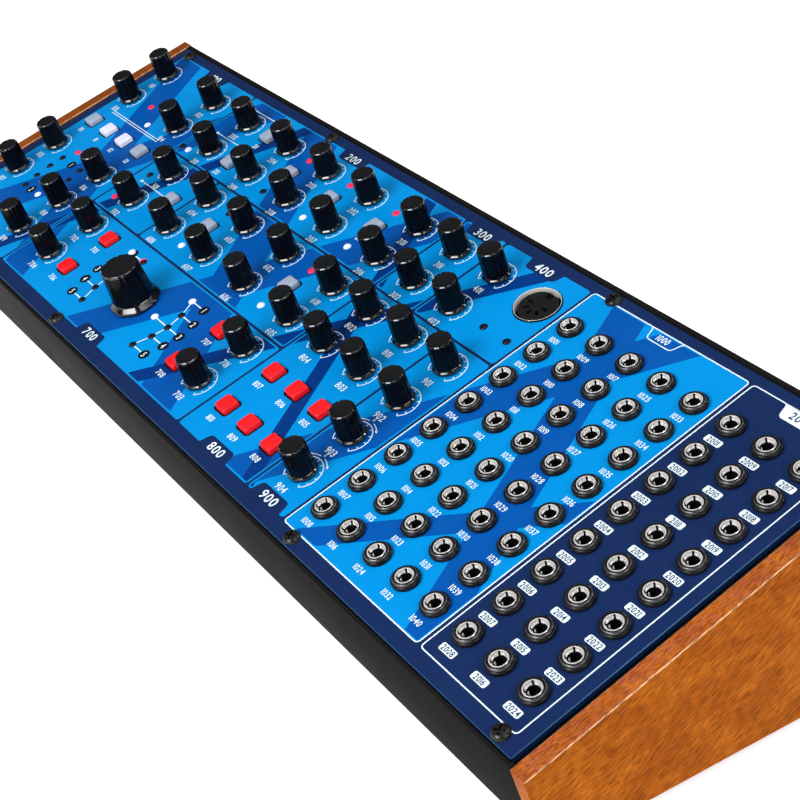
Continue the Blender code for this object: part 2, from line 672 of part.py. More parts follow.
def make_rear_board(parts, cutters, green):
    """The rear socket board with its sockets reaching through the rear wall."""
    inner_wall = CASE_REAR - SHEET
    board_rear = inner_wall - IO_BOARD_GAP
    board_front = board_rear - IO_BOARD_THICK
    last = socket_x(PHONE_PLACE + (PHONE_COUNT - 1) * PHONE_PITCH)
    low = (last - IO_BOARD_MARGIN, board_front, SOCKET_HEIGHT - IO_BOARD_HEIGHT / 2)
    high = (socket_x(INLET_PLACE) + IO_BOARD_MARGIN, board_rear,
            SOCKET_HEIGHT + IO_BOARD_HEIGHT / 2)
    board = place("rear_socket_board", stamp_boxes("rear_socket_board", [(low, high)]), parts,
                  green)

    sunk = board_rear - IO_BOARD_THICK / 2
    face = CASE_REAR + SOCKET_PROUD
    bodies = rear_cylinder("rear_bodies", rear_rounds(), sunk, face)
    add_boolean(board, place_cutter("rear_bodies", bodies, cutters), "UNION")
    blocks = stamp_boxes("rear_blocks", [
        rear_box(socket_x(SWITCH_PLACE), SWITCH_SIZE, sunk, face),
        rear_box(socket_x(USB_PLACE), USB_SIZE, sunk, face)])
    add_boolean(board, place_cutter("rear_blocks", blocks, cutters), "UNION")

    floor = board_rear + SHEET
    bores = [(socket_x(INLET_PLACE), INLET_BORE_R), (socket_x(THRU_PLACE), DIN_CAVITY_R)]
    for index in range(PHONE_COUNT):
        bores.append((socket_x(PHONE_PLACE + index * PHONE_PITCH), PHONE_BORE_R))
    hollows = rear_cylinder("rear_bores", bores, floor, face + CUT_PAST)
    add_boolean(board, place_cutter("rear_bores", hollows, cutters), "DIFFERENCE")
    pocket = [size + 2 * ROCKER_GAP for size in ROCKER_SIZE]
    pockets = stamp_boxes("rear_pockets", [
        rear_box(socket_x(SWITCH_PLACE), pocket, face - ROCKER_DEPTH, face + CUT_PAST),
        rear_box(socket_x(USB_PLACE), USB_HOLLOW, floor, face + CUT_PAST)])
    add_boolean(board, place_cutter("rear_pockets", pockets, cutters), "DIFFERENCE")

    cores = [(socket_x(INLET_PLACE), INLET_PIN_R), (socket_x(THRU_PLACE), DIN_CORE_R)]
    inserts = rear_cylinder("rear_cores", cores, floor - SHEET / 2, face - DIN_CORE_DROP)
    add_boolean(board, place_cutter("rear_cores", inserts, cutters), "UNION")
    tongue = stamp_boxes("usb_tongue", [rear_box(socket_x(USB_PLACE), USB_TONGUE,
                                                 floor - SHEET / 2, face - DIN_CORE_DROP)])
    add_boolean(board, place_cutter("usb_tongue", tongue, cutters), "UNION")


def make_rocker(parts, black):
    """The power switch's rocker, at rest with one side pressed in."""
    half = ROCKER_SIZE[0] / 2
    face = CASE_REAR + SOCKET_PROUD
    outline = [(-half, ROCKER_WING), (-half, -ROCKER_HEEL), (-half / 2, -ROCKER_KEEL),
               (half / 2, -ROCKER_KEEL), (half, -ROCKER_HEEL), (half, ROCKER_WING),
               (0, ROCKER_DIP)]
    rocker = profile_prism("power_rocker", outline, -ROCKER_SIZE[1] / 2, ROCKER_SIZE[1] / 2)
    stand_up = Matrix(((0, 1, 0, 0), (0, 0, 1, 0), (1, 0, 0, 0), (0, 0, 0, 1)))
    rocker.transform(stand_up)
    item = place("power_rocker", rocker, parts, black, None,
                 (socket_x(SWITCH_PLACE), face - ROCKER_HEEL, SOCKET_HEIGHT))
    item.rotation_euler = (0, 0, -ROCKER_SWING)


def build():
    """Make every piece of the instrument."""
    clear_scene()
    parts = make_collection("semi_modular_synthesizer")
    cutters = make_collection("cutters")
    frame = bpy.data.objects.new("panel_frame", None)
    parts.objects.link(frame)
    frame.location = (0, PANEL_ORIGIN_Y, PANEL_ORIGIN_Z)
    frame.rotation_euler = (PANEL_TILT, 0, 0)
    bpy.context.view_layer.update()

    steel = make_material("dark_steel", (0.03, 0.03, 0.032), 0.6)
    blue = make_material("printed_blue", (0.0, 0.33, 0.8), 0.4)
    black = make_material("black_plastic", (0.01, 0.01, 0.012), 0.25)
    red = make_material("lit_red", (0.9, 0.03, 0.04), 0.4)
    wood = make_material("orange_wood", (0.5, 0.18, 0.04), 0.45)
    green = make_material("circuit_board", (0.02, 0.12, 0.05), 0.5)

    make_case(parts, cutters, frame, steel)
    make_cheeks(parts, wood)
    make_panel(parts, cutters, frame, blue)
    make_control_board(parts, cutters, frame, green)
    make_din_socket(parts, cutters, frame, black)
    make_rear_board(parts, cutters, green)
    make_rocker(parts, black)
    make_knobs(parts, cutters, frame, black)
    make_buttons(parts, frame, red)


build()
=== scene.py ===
# %% [markdown]
# # Dressing a semi-modular synthesizer
#
# A desktop synthesizer lives from its front panel: printed sections, rows of fluted knobs,
# square lit buttons and a field of patch sockets, held between two wooden cheeks. The CAD
# model already has every body in its right place. This script keeps that frame and gives
# each piece its finished surface: moulded knobs, nuts and bushes, printing ink, lamps, wood
# and powder-coated steel. Lengths in the panel's own plane are given in millimetres.

import json
from math import cos, pi, radians, sin, tan

import bmesh
import bpy
from mathutils import Matrix, Vector


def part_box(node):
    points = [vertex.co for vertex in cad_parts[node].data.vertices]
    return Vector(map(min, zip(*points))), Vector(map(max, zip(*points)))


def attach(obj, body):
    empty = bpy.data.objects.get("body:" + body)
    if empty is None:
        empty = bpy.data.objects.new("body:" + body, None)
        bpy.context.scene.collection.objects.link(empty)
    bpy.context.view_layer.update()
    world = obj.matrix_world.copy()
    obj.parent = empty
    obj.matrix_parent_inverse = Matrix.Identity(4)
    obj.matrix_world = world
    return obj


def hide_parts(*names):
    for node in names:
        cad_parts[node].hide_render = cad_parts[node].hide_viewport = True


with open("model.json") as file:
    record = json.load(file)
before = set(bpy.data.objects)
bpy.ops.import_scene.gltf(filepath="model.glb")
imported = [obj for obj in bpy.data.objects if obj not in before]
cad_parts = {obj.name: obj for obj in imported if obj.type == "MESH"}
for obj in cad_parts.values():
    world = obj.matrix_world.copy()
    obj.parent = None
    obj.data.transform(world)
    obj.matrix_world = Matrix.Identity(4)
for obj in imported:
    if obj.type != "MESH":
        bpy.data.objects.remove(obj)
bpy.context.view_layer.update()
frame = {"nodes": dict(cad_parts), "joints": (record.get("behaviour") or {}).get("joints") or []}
scene = bpy.context.scene
joints = {joint["name"]: joint for joint in frame["joints"]}

# %% [markdown]
# ## The panel's own plane
#
# The panel slopes by 20 degrees. Each place on it could be worked out in the world's axes,
# but a matrix for the slope lets every number read as on a ruler that lies on the panel: u
# to the right from the middle, v from the front edge to the rear and z out of the panel,
# all in millimetres. One knob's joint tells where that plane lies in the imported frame.

# %% Coordinates of the panel
MM = 0.001
TILT = radians(20.0)
SLOPE = Matrix.Rotation(TILT, 3, "X")
COLUMNS = [67.25, 46.1, 25.05, 3.95, -26.05, -53.35, -80.85, -110.15, -137.65, -178.25]
ROW_PITCH = 18.35
ROWS = [111.75 - ROW_PITCH * k for k in range(6)]
JACK_PITCH = 13.3
JACK_COLUMNS = [first + JACK_PITCH * k for first, count in ((85.25, 5), (152.75, 3))
                for k in range(count)]
JACK_ROWS = [109.1 - JACK_PITCH * k for k in range(8)]
HALF_WIDTH = 189.75
DEPTH = 128.5
known = Vector(joints["turn_r1_c2"]["pos_m"])
ORIGIN = known - SLOPE @ Vector((COLUMNS[1] * MM, ROWS[0] * MM, 0.0))
PANEL = Matrix.Translation(ORIGIN) @ SLOPE.to_4x4()


def at(u, v, z=0.0):
    """World matrix of a place on the panel, given in millimetres."""
    return PANEL @ Matrix.Translation((u * MM, v * MM, z * MM))


def all_at(spots):
    """World matrices of many places on the panel."""
    return [at(u, v) for u, v in spots]


def column(index):
    """Place of a knob column, or of a point between two of them."""
    whole = min(int(index), len(COLUMNS) - 2)
    share = index - whole
    return COLUMNS[whole] * (1 - share) + COLUMNS[whole + 1] * share


def row(index):
    """Place of a knob row, or of a point between two of them."""
    return ROWS[0] - ROW_PITCH * index


print("panel origin:", [round(c, 5) for c in ORIGIN])

# %% [markdown]
# ## The camera
#
# The photograph was taken from the front right with a long lens, so that the patch field
# fills the lower right and the left cheek runs out of the picture. A camera could be aimed
# by eye. Its place, turn and lens are fitted to the rows of knobs and sockets instead,
# because a regular grid shows small errors at once.


# %% Make the camera
def hold(data, matrix=None, name="tool"):
    """Add an object for a mesh, a text, a lamp or a lens to the scene."""
    item = bpy.data.objects.new(name, data)
    scene.collection.objects.link(item)
    if matrix:
        item.matrix_world = matrix
    return item


lens = bpy.data.cameras.new("camera")
lens.sensor_width = 36.0
lens.lens = 71.988
lens.shift_x = 0.0019
lens.clip_start = 0.01
camera = hold(lens, name="camera")
camera.location = (0.403308, -0.243122, 0.296960)
camera.rotation_euler = (radians(59.2307), radians(-0.5259), radians(55.3726))
scene.camera = camera
print("camera at", tuple(round(c, 3) for c in camera.location))

# %% [markdown]
# ## Shared surface effects
#
# Real finishes are never quite even. Each effect could be wired anew in every material,
# but a node group is built once and then placed with its own values: a cloudy mask, a fine
# bump, rubbed edges and the figure of the wood. The groups hand out masks and normals; the
# shader itself stays in each material.


# %% Node helpers
def feed(tree, node, sockets):
    """Give a node's sockets values, or links from other nodes."""
    for key, value in sockets.items():
        if isinstance(value, bpy.types.NodeSocket):
            tree.links.new(value, node.inputs[key])
        else:
            node.inputs[key].default_value = value


def add(tree, kind, sockets=None, **properties):
    """Add a node with its properties and what feeds it, and hand back its outputs."""
    node = tree.nodes.new("ShaderNode" + kind)
    for key, value in properties.items():
        setattr(node, key, value)
    feed(tree, node, sockets or {})
    return node.outputs


def maths(tree, operation, *values, clamp=False):
    """The result of a Math node."""
    return add(tree, "Math", dict(enumerate(values)), operation=operation,
               use_clamp=clamp)[0]


def remap(tree, value, low, high, to_low=0.0, to_high=1.0):
    """Stretch a value's range, clamped."""
    return add(tree, "MapRange", {0: value, 1: low, 2: high, 3: to_low, 4: to_high})[0]


def noise(tree, vector, scale, detail, rough=0.5):
    """Value and colour of a noise."""
    return add(tree, "TexNoise", {"Vector": vector, "Scale": scale, "Detail": detail,
                                  "Roughness": rough})


def mix(tree, share, first, second):
    """Blend two colours, each of them a socket or three numbers."""
    a, b = [(*end, 1.0) if isinstance(end, tuple) else end for end in (first, second)]
    return add(tree, "Mix", {0: share, 6: a, 7: b}, data_type="RGBA")[2]


def make_group(name, inputs, outputs):
    """An empty shader group with named sockets, what it is given, and its end node."""
    group = bpy.data.node_groups.new(name, "ShaderNodeTree")
    for label, value in inputs.items():
        group.interface.new_socket(label, in_out="INPUT",
                                   socket_type="NodeSocketFloat").default_value = value
    for label in outputs:
        kind = "NodeSocketVector" if label == "Normal" else "NodeSocketFloat"
        group.interface.new_socket(label, in_out="OUTPUT", socket_type=kind)
    given = group.nodes.new("NodeGroupInput").outputs
    return group, given, group.nodes.new("NodeGroupOutput")


# %% A cloudy mask and a fine bump
mottle, given, end = make_group("cloudy_mask", {"Scale": 60.0, "Contrast": 0.3}, ["Mask"])
cloud = noise(mottle, add(mottle, "TexCoord")["Object"], given["Scale"], 5.0, 0.6)[0]
centred = maths(mottle, "SUBTRACT", cloud, 0.5)
feed(mottle, end, {"Mask": maths(mottle, "MULTIPLY_ADD", centred, given["Contrast"], 0.5)})

grain, given, end = make_group("fine_bump", {"Scale": 900.0, "Strength": 0.1}, ["Normal"])
fine = noise(grain, add(grain, "TexCoord")["Object"], given["Scale"], 3.0)[0]
feed(grain, end, {"Normal": add(grain, "Bump", {
    "Strength": given["Strength"], "Distance": 0.0002, "Height": fine})[0]})

# %% Rubbed edges
rub, given, end = make_group("rubbed_edges", {"Reach": 0.08, "Breakup": 150.0}, ["Mask"])
above = maths(rub, "SUBTRACT", add(rub, "NewGeometry")["Pointiness"], 0.5)
share = maths(rub, "DIVIDE", above, given["Reach"], clamp=True)
patchy = noise(rub, add(rub, "TexCoord")["Object"], given["Breakup"], 4.0)[0]
feed(rub, end, {"Mask": maths(rub, "MULTIPLY", share, remap(rub, patchy, 0.35, 0.65),
                              clamp=True)})

# %% The figure of the wood
figure, given, end = make_group("wood_figure", {"Fibre": 2500.0, "Stretch": 11.0},
                                ["Tone", "Pores", "Normal"])
laid = add(figure, "Mapping", {"Vector": add(figure, "TexCoord")["Object"],
                               "Rotation": (-TILT - radians(9.0), 0.0, 0.0)})[0]
drift = noise(figure, laid, 30.0, 2.0)[1]
bent = add(figure, "VectorMath", {0: drift, 1: (0.0008, 0.0008, 0.0008), 2: laid},
           operation="MULTIPLY_ADD")[0]
narrow = maths(figure, "DIVIDE", 1.0, given["Stretch"])
squeeze = add(figure, "CombineXYZ", {0: 1.0, 1: narrow, 2: 1.0})[0]
long_way = add(figure, "VectorMath", {0: bent, 1: squeeze}, operation="MULTIPLY")[0]
fibre = noise(figure, long_way, given["Fibre"], 3.0, 0.6)[0]
broad = maths(figure, "MULTIPLY", noise(figure, bent, 90.0, 3.0, 0.55)[0], 0.45)
tone = remap(figure, maths(figure, "MULTIPLY_ADD", fibre, 0.55, broad), 0.36, 0.64)
pores = remap(figure, noise(figure, long_way, 2900.0, 1.0, 0.4)[0], 0.52, 0.6)
dents = add(figure, "Bump", {"Strength": 0.3, "Distance": 0.00008, "Height": pores},
            invert=True)[0]
feed(figure, end, {"Tone": tone, "Pores": pores, "Normal": dents})
print("groups:", [group.name for group in (mottle, grain, rub, figure)])


# %% [markdown]
# ## Materials
#
# One flat colour would look dead on any of these surfaces. Most finishes share one recipe:
# a base colour that drifts a little between two tones, a roughness that drifts with it,
# and a fine bump. It takes tones and scales as arguments, so that ink, plastic, coat and
# metal each keep their own character without a node tree of their own to wire.


# %% The common recipe
def new_material(name):
    """A material, its node tree and its shader."""
    material = bpy.data.materials.new(name)
    material.use_nodes = True
    return material, material.node_tree, material.node_tree.nodes["Principled BSDF"]


def effect(tree, group, **inputs):
    """Place a shared effect in a material, and hand back its outputs."""
    return add(tree, "Group", inputs, node_tree=group)


def finish(name, dark, light, rough, drift=60.0, bump=(900.0, 0.08), rubbed=None, shine=0.5,
           **sockets):
    """A material whose colour and gloss drift between two tones."""
    material, tree, shader = new_material(name)
    cloudy = effect(tree, mottle, Scale=drift, Contrast=1.6)["Mask"]
    colour = mix(tree, cloudy, dark, light)
    if rubbed:
        colour = mix(tree, effect(tree, rub)["Mask"], colour, rubbed)
    skin = effect(tree, grain, Scale=bump[0], Strength=bump[1])["Normal"]
    feed(tree, shader, {"Base Color": colour, "Normal": skin, "Specular IOR Level": shine,
                        "Roughness": remap(tree, cloudy, 0.0, 1.0, rough * 0.85,
                                           rough * 1.15)})
    feed(tree, shader, {key.replace("_", " "): value for key, value in sockets.items()})
    return material


def glowing(name, dark, light, strength, rough=0.35):
    """A translucent cap or lamp that is lit from inside."""
    return finish(name, dark, light, rough, 250.0, Emission_Color=(*light, 1.0),
                  Emission_Strength=strength)


# %% Coat and inks
coat = finish("powder_coat", (0.0094, 0.0086, 0.0086), (0.0133, 0.0125, 0.0125), 0.5, 40.0,
              (2200.0, 0.3), shine=0.01)
navy = finish("navy_ink", (0.0065, 0.021, 0.090), (0.0085, 0.027, 0.108), 0.4, 35.0,
              (1500.0, 0.06), shine=0.1)
# The plate's bevelled rim: a lighter, bluer navy as a painted highlight along the edge.
painted_edge_highlight = finish("navy_edge_painted_highlight", (0.006, 0.040, 0.110), (0.010, 0.055, 0.140), 0.3, 35.0,
                    (1500.0, 0.04), shine=0.55, Specular_Tint=(0.35, 0.75, 1.0, 1.0))
sky = finish("light_blue_ink", (0.0, 0.255, 0.668), (0.0, 0.284, 0.727), 0.42, 28.0,
             (1500.0, 0.06), shine=0.05)
deep = finish("deep_blue_ink", (0.0, 0.078, 0.36), (0.0, 0.098, 0.43), 0.42, 28.0,
              (1500.0, 0.06), shine=0.08)
dusk = finish("dusk_blue_ink", (0.0, 0.030, 0.19), (0.0, 0.040, 0.23), 0.42, 28.0,
              (1500.0, 0.06), shine=0.08)
white = finish("white_ink", (0.76, 0.88, 0.93), (0.84, 0.95, 0.99), 0.45, 300.0, shine=0.1)
print("coat and inks:", len(bpy.data.materials))

# %% Knobs and sockets
gloss_black = finish("knob_gloss", (0.0015, 0.0015, 0.002), (0.003, 0.003, 0.0035), 0.17,
                     220.0, (600.0, 0.01), shine=0.13)
rim_black = finish("knob_rim", (0.002, 0.002, 0.0025), (0.004, 0.004, 0.0045), 0.15,
                   220.0, (600.0, 0.01), shine=0.88)
nut_edge = finish("nut_edge", (0.010, 0.010, 0.011), (0.016, 0.016, 0.017), 0.3, 300.0,
                  shine=1.0, Coat_Weight=1.0, Coat_Roughness=0.3)
matte_black = finish("knob_top", (0.0055, 0.0065, 0.0075), (0.009, 0.010, 0.011), 0.55, 200.0,
                     (5200.0, 0.25), shine=0.16)
nut_black = finish("blackened_nut", (0.004, 0.004, 0.005), (0.008, 0.008, 0.009), 0.22, 300.0,
                   (1800.0, 0.05), rubbed=(0.02, 0.02, 0.02), shine=0.22)
chrome = finish("bright_bush", (0.86, 0.83, 0.81), (0.96, 0.94, 0.92), 0.18, 500.0,
                (1500.0, 0.04), Metallic=0.4)
dark_hole = finish("socket_inside", (0.003, 0.003, 0.003), (0.006, 0.006, 0.006), 0.6, 300.0,
                   shine=0.1)
contact = finish("spring_contact", (0.68, 0.64, 0.58), (0.8, 0.77, 0.72), 0.3, 500.0,
                 Metallic=0.4)
print("with knobs and sockets:", len(bpy.data.materials))

# %% Caps and lamps
lit_red = glowing("lit_red_cap", (0.80, 0.004, 0.008), (0.92, 0.008, 0.012), 0.16)
lit_white = glowing("lit_white_cap", (0.60, 0.60, 0.80), (0.72, 0.72, 0.92), 0.22)
dull_cap = finish("unlit_cap", (0.33, 0.38, 0.50), (0.42, 0.47, 0.60), 0.4, 250.0,
                  shine=0.25, Subsurface_Weight=0.1)
lamp_white = glowing("lamp_white", (0.62, 0.66, 0.92), (0.74, 0.78, 1.0), 0.35)
lamp_red = glowing("lamp_red", (0.75, 0.010, 0.05), (0.85, 0.016, 0.08), 0.35)
lamp_dark = finish("lamp_dark", (0.006, 0.007, 0.013), (0.010, 0.011, 0.020), 0.3, 400.0,
                   shine=0.2)
print("with caps and lamps:", len(bpy.data.materials))

# %% Screws, shells, board and feet
screw_black = finish("screw_black", (0.004, 0.004, 0.004), (0.009, 0.009, 0.009), 0.25,
                     400.0, (1500.0, 0.15), rubbed=(0.05, 0.05, 0.05), shine=0.35)
shell_grey = finish("socket_shell", (0.84, 0.81, 0.77), (0.95, 0.92, 0.88), 0.25, 200.0,
                    Metallic=0.3)
moulding = finish("black_moulding", (0.009, 0.008, 0.008), (0.014, 0.013, 0.013), 0.4, 150.0,
                  (1800.0, 0.15), shine=0.2)
laminate = finish("board_green", (0.008, 0.075, 0.03), (0.014, 0.11, 0.045), 0.35, 70.0)
rubber = finish("foot_rubber", (0.012, 0.012, 0.012), (0.022, 0.022, 0.021), 0.75, 120.0,
                (2500.0, 0.4), shine=0.2)
print("all but the wood:", len(bpy.data.materials))

# %% [markdown]
# The cheeks are stained wood. A picture of veneer could be wrapped round them, but noise in
# the object's own space runs on round every edge without a seam. Long narrow noise gives
# the fibres, a slower one the broad figure, and small dark dashes the open pores, nearly
# along the slope of the panel. On the eased edges the stain is paler, partly rubbed thin and
# partly a painted highlight, so they show as a thin line. Light and shade are painted into
# the cheeks as well: the right cheek's sides take lighter tones, the left cheek darker ones.

# %% Stained wood
BROWN = ((0.300, 0.056, 0.002), (0.480, 0.122, 0.004), (0.680, 0.200, 0.012))


def toned(factor):
    """The brown tones, made lighter as painted light or darker as painted shade."""
    return tuple(tuple(factor * part for part in tone) for tone in BROWN)


def stained(name, gloss, tones, patch, share):
    """Stained wood: fibres and pores over a ground with cloudy patches."""
    material, tree, shader = new_material(name)
    fibres = effect(tree, figure)
    ground = add(tree, "ValToRGB", {0: fibres["Tone"]})[0]
    stops = ground.node.color_ramp.elements
    stops[0].color, stops[1].color = (*tones[0], 1.0), (*tones[2], 1.0)
    stops.new(0.5).color = (*tones[1], 1.0)
    patches = effect(tree, mottle, Scale=420.0, Contrast=2.6)["Mask"]
    redder = mix(tree, maths(tree, "MULTIPLY", patches, share), ground, patch)
    faint = maths(tree, "MULTIPLY", fibres["Pores"], 0.62)
    feed(tree, shader, {
        "Base Color": mix(tree, faint, redder, (0.17, 0.035, 0.004)),
        "Roughness": remap(tree, fibres["Pores"], 0.0, 1.0, 0.34, 0.5),
        "Normal": fibres["Normal"], "Specular IOR Level": gloss,
        "Specular Tint": (1.0, 0.78, 0.55, 1.0)})
    return material


# The right cheek's side faces take the tones 1.24 times lighter than its top: painted light on
# the lit side.
wood = stained("wood_side_painted_light", 0.015, toned(1.24), (0.42, 0.105, 0.028), 0.3)
wood_top = stained("stained_wood_top", 0.05, BROWN, (0.36, 0.092, 0.085), 0.5)
# The eased edges take much paler tones: partly stain rubbed thin, partly a painted highlight
# where the bevel catches the light.
edge_wear_and_highlight = stained("wood_edge_wear_and_painted_highlight", 1.0,
                    ((0.66, 0.34, 0.16), (0.80, 0.45, 0.22), (0.94, 0.60, 0.34)),
                    (0.34, 0.085, 0.020), 0.3)
# The left cheek takes the tones at 0.62 all over: painted shade for the cheek in shadow.
painted_shade_wood = stained("wood_left_painted_shade", 0.05, toned(0.62), (0.20, 0.05, 0.04), 0.5)
print("wood nodes:", len(wood.node_tree.nodes))


# %% [markdown]
# ## Making meshes
#
# Turned, pressed and printed pieces could be shaped by hand with modifiers. A few small
# tools make nearly all of them from their real measures instead, so that a corrected
# measure needs one changed number: a lathe for round pieces, whose radius may also depend
# on the angle for flutes; a stamp that repeats one mesh in many places; a cutter; and a
# printer that turns outlines into thin layers of ink.


# %% Lathe
def mesh_of(name, points, faces):
    """A mesh from its corners and faces."""
    mesh = bpy.data.meshes.new(name)
    mesh.from_pydata(points, [], faces)
    return mesh


def soften(mesh, degrees=32):
    """Shade round faces smooth and keep edges crisp."""
    mesh.shade_smooth()
    mesh.set_sharp_from_angle(angle=radians(degrees))
    return mesh


def lathe(name, profile, steps, wave=None):
    """A turned mesh from (radius, height) in mm, from the top centre down the outside."""
    points, faces, circles = [], [], []
    for radius, height in profile:
        circle = []
        for k in range(steps if radius else 1):
            angle = 2 * pi * k / steps
            r = wave(radius, height, angle) if wave and radius else radius
            circle.append(len(points))
            points.append((r * cos(angle) * MM, r * sin(angle) * MM, height * MM))
        circles.append(circle)
    for upper, lower in zip(circles, circles[1:]):
        for k in range(steps):
            a, b = upper[k % len(upper)], upper[(k + 1) % len(upper)]
            c, d = lower[(k + 1) % len(lower)], lower[k % len(lower)]
            faces.append(list(dict.fromkeys((a, d, c, b))))
    return soften(mesh_of(name, points, faces))


# %% Stamp and piece
def sort_faces(mesh, rule):
    """Give each face its material, by its centre's reach and height in mm."""
    for face in mesh.polygons:
        face.material_index = int(rule(face.center.xy.length / MM, face.center.z / MM))


def stamp(name, source, matrices):
    """One mesh with a copy of the source at each matrix."""
    corners = [vertex.co.copy() for vertex in source.vertices]
    polygons = [tuple(face.vertices) for face in source.polygons]
    points, faces = [], []
    for matrix in matrices:
        first = len(points)
        points += [matrix @ corner for corner in corners]
        faces += [tuple(first + i for i in polygon) for polygon in polygons]
    mesh = mesh_of(name, points, faces)
    slots = [face.material_index for face in source.polygons] * len(matrices)
    mesh.polygons.foreach_set("material_index", slots)
    return soften(mesh)


def piece(name, mesh, materials, nodes=(), matrix=None, body="case"):
    """Add a mesh to the object, riding on a body, standing for CAD nodes if named."""
    item = hold(mesh, matrix, name)
    if not mesh.materials:
        for material in materials:
            mesh.materials.append(material)
    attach(item, body)
    if nodes:
        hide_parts(*nodes)
    return item


def stamped(name, source, matrices, materials):
    """A piece of the case that holds many copies of one mesh."""
    return piece(name, stamp(name, source, matrices), materials)


# %% Boxes and cuts
def ease(shape, edges, width, segments, **more):
    """Round or chamfer edges of an edit mesh."""
    bmesh.ops.bevel(shape, geom=edges, offset=width * MM, segments=segments, profile=0.5,
                    affect="EDGES", **more)


def settle(shape, mesh):
    """Write an edit mesh into a mesh."""
    shape.to_mesh(mesh)
    shape.free()
    return mesh


def box_mesh(name, boxes, edge=0.0):
    """One mesh of boxes given by their low and high corners in mm, with eased edges."""
    shape = bmesh.new()
    for low, high in boxes:
        middle = [(a + b) / 2 * MM for a, b in zip(low, high)]
        size = [(b - a) * MM for a, b in zip(low, high)]
        matrix = Matrix.Translation(middle) @ Matrix.Diagonal((*size, 1.0))
        bmesh.ops.create_cube(shape, size=1.0, matrix=matrix)
    if edge:
        ease(shape, shape.edges[:], edge, 2)
    return soften(settle(shape, bpy.data.meshes.new(name)), 40)


def worked_out(item):
    """A mesh of what an object's modifiers or its text come to."""
    graph = bpy.context.evaluated_depsgraph_get()
    return bpy.data.meshes.new_from_object(item.evaluated_get(graph))


def cut(item, tool):
    """Take a tool's shape out of a piece, and drop the tool."""
    modifier = item.modifiers.new("cut", "BOOLEAN")
    modifier.operation = "DIFFERENCE"
    modifier.solver = "EXACT"
    modifier.object = tool
    mesh = worked_out(item)
    item.modifiers.clear()
    item.data = mesh
    bpy.data.objects.remove(tool, do_unlink=True)


def carved(mesh, *tools):
    """A mesh with the shapes of other meshes taken out of it."""
    item = hold(mesh)
    for tool in tools:
        cut(item, hold(tool))
    mesh = item.data
    bpy.data.objects.remove(item, do_unlink=True)
    return mesh


# %% Outlines in the plane
def rounded_box(u0, v0, u1, v1, radius, steps=5):
    """Corner-rounded rectangle, counterclockwise."""
    corners = [(u1 - radius, v0 + radius, -90), (u1 - radius, v1 - radius, 0),
               (u0 + radius, v1 - radius, 90), (u0 + radius, v0 + radius, 180)]
    return [point for u, v, turn in corners
            for point in arc(u, v, radius, turn, turn + 90, steps)]


def square(u, v, side, radius):
    """Corner-rounded square round a place."""
    return rounded_box(u - side / 2, v - side / 2, u + side / 2, v + side / 2, radius)


def polar(u, v, radius, angle):
    """The place at a distance and angle from another."""
    return u + radius * cos(angle), v + radius * sin(angle)


def disc(u, v, radius, steps=24):
    """Round outline."""
    return [polar(u, v, radius, 2 * pi * k / steps) for k in range(steps)]


def arc(u, v, radius, first, last, steps=40):
    """Points along an arc, in degrees."""
    return [polar(u, v, radius, radians(first + (last - first) * k / steps))
            for k in range(steps + 1)]


# %% Lines and bands
def stroke(points, width, closed=False):
    """Quadrilaterals that follow a line with a given width."""
    count = len(points)
    sides = []
    for k in range(count):
        before = points[k - 1] if closed or k else points[k]
        after = points[(k + 1) % count] if closed or k < count - 1 else points[k]
        du, dv = after[0] - before[0], after[1] - before[1]
        size = max((du * du + dv * dv) ** 0.5, 1e-6)
        nu, nv = -dv / size * width / 2, du / size * width / 2
        u, v = points[k]
        sides.append(((u + nu, v + nv), (u - nu, v - nv)))
    quads = []
    for k in range(count if closed else count - 1):
        (a, b), (c, d) = sides[k], sides[(k + 1) % count]
        quads.append([b, d, c, a])
    return quads


def clip(polygon, u0, v0, u1, v1):
    """The part of a convex outline inside a rectangle."""
    for axis, limit, keep_above in ((0, u0, True), (0, u1, False), (1, v0, True),
                                    (1, v1, False)):
        result = []
        for k, current in enumerate(polygon):
            previous = polygon[k - 1]
            inside = (current[axis] >= limit) == keep_above
            was_inside = (previous[axis] >= limit) == keep_above
            if inside != was_inside:
                share = (limit - previous[axis]) / (current[axis] - previous[axis])
                result.append(tuple(p + (c - p) * share for p, c in zip(previous, current)))
            if inside:
                result.append(current)
        polygon = result
        if not polygon:
            return []
    return polygon


# %% Prisms and ink
def prism_mesh(name, outlines, low, high, bottom=True):
    """Prisms from outlines, for plates, for cutting and, without a bottom, for ink."""
    points, faces = [], []
    for outline in outlines:
        first, count = len(points), len(outline)
        points += [(u * MM, v * MM, z * MM) for z in (low, high) for u, v in outline]
        faces.append([first + count + k for k in range(count)])
        if bottom:
            faces.append([first + k for k in reversed(range(count))])
        for k in range(count):
            after = (k + 1) % count
            faces.append([first + k, first + after, first + count + after,
                          first + count + k])
    return mesh_of(name, points, faces)


def print_ink(name, outlines, low, high, material, matrix=PANEL):
    """A printed layer: each outline becomes a thin raised patch on the panel."""
    mesh = prism_mesh(name, outlines, low, high, bottom=False)
    return piece(name, mesh, [material], matrix=matrix)


# %% [markdown]
# Lettering is plain numbers. A text object for each would be simple, but there are more
# than a hundred. So each digit is taken once from the built-in font, narrowed to the
# condensed style of panel lettering, and then set like lead type.

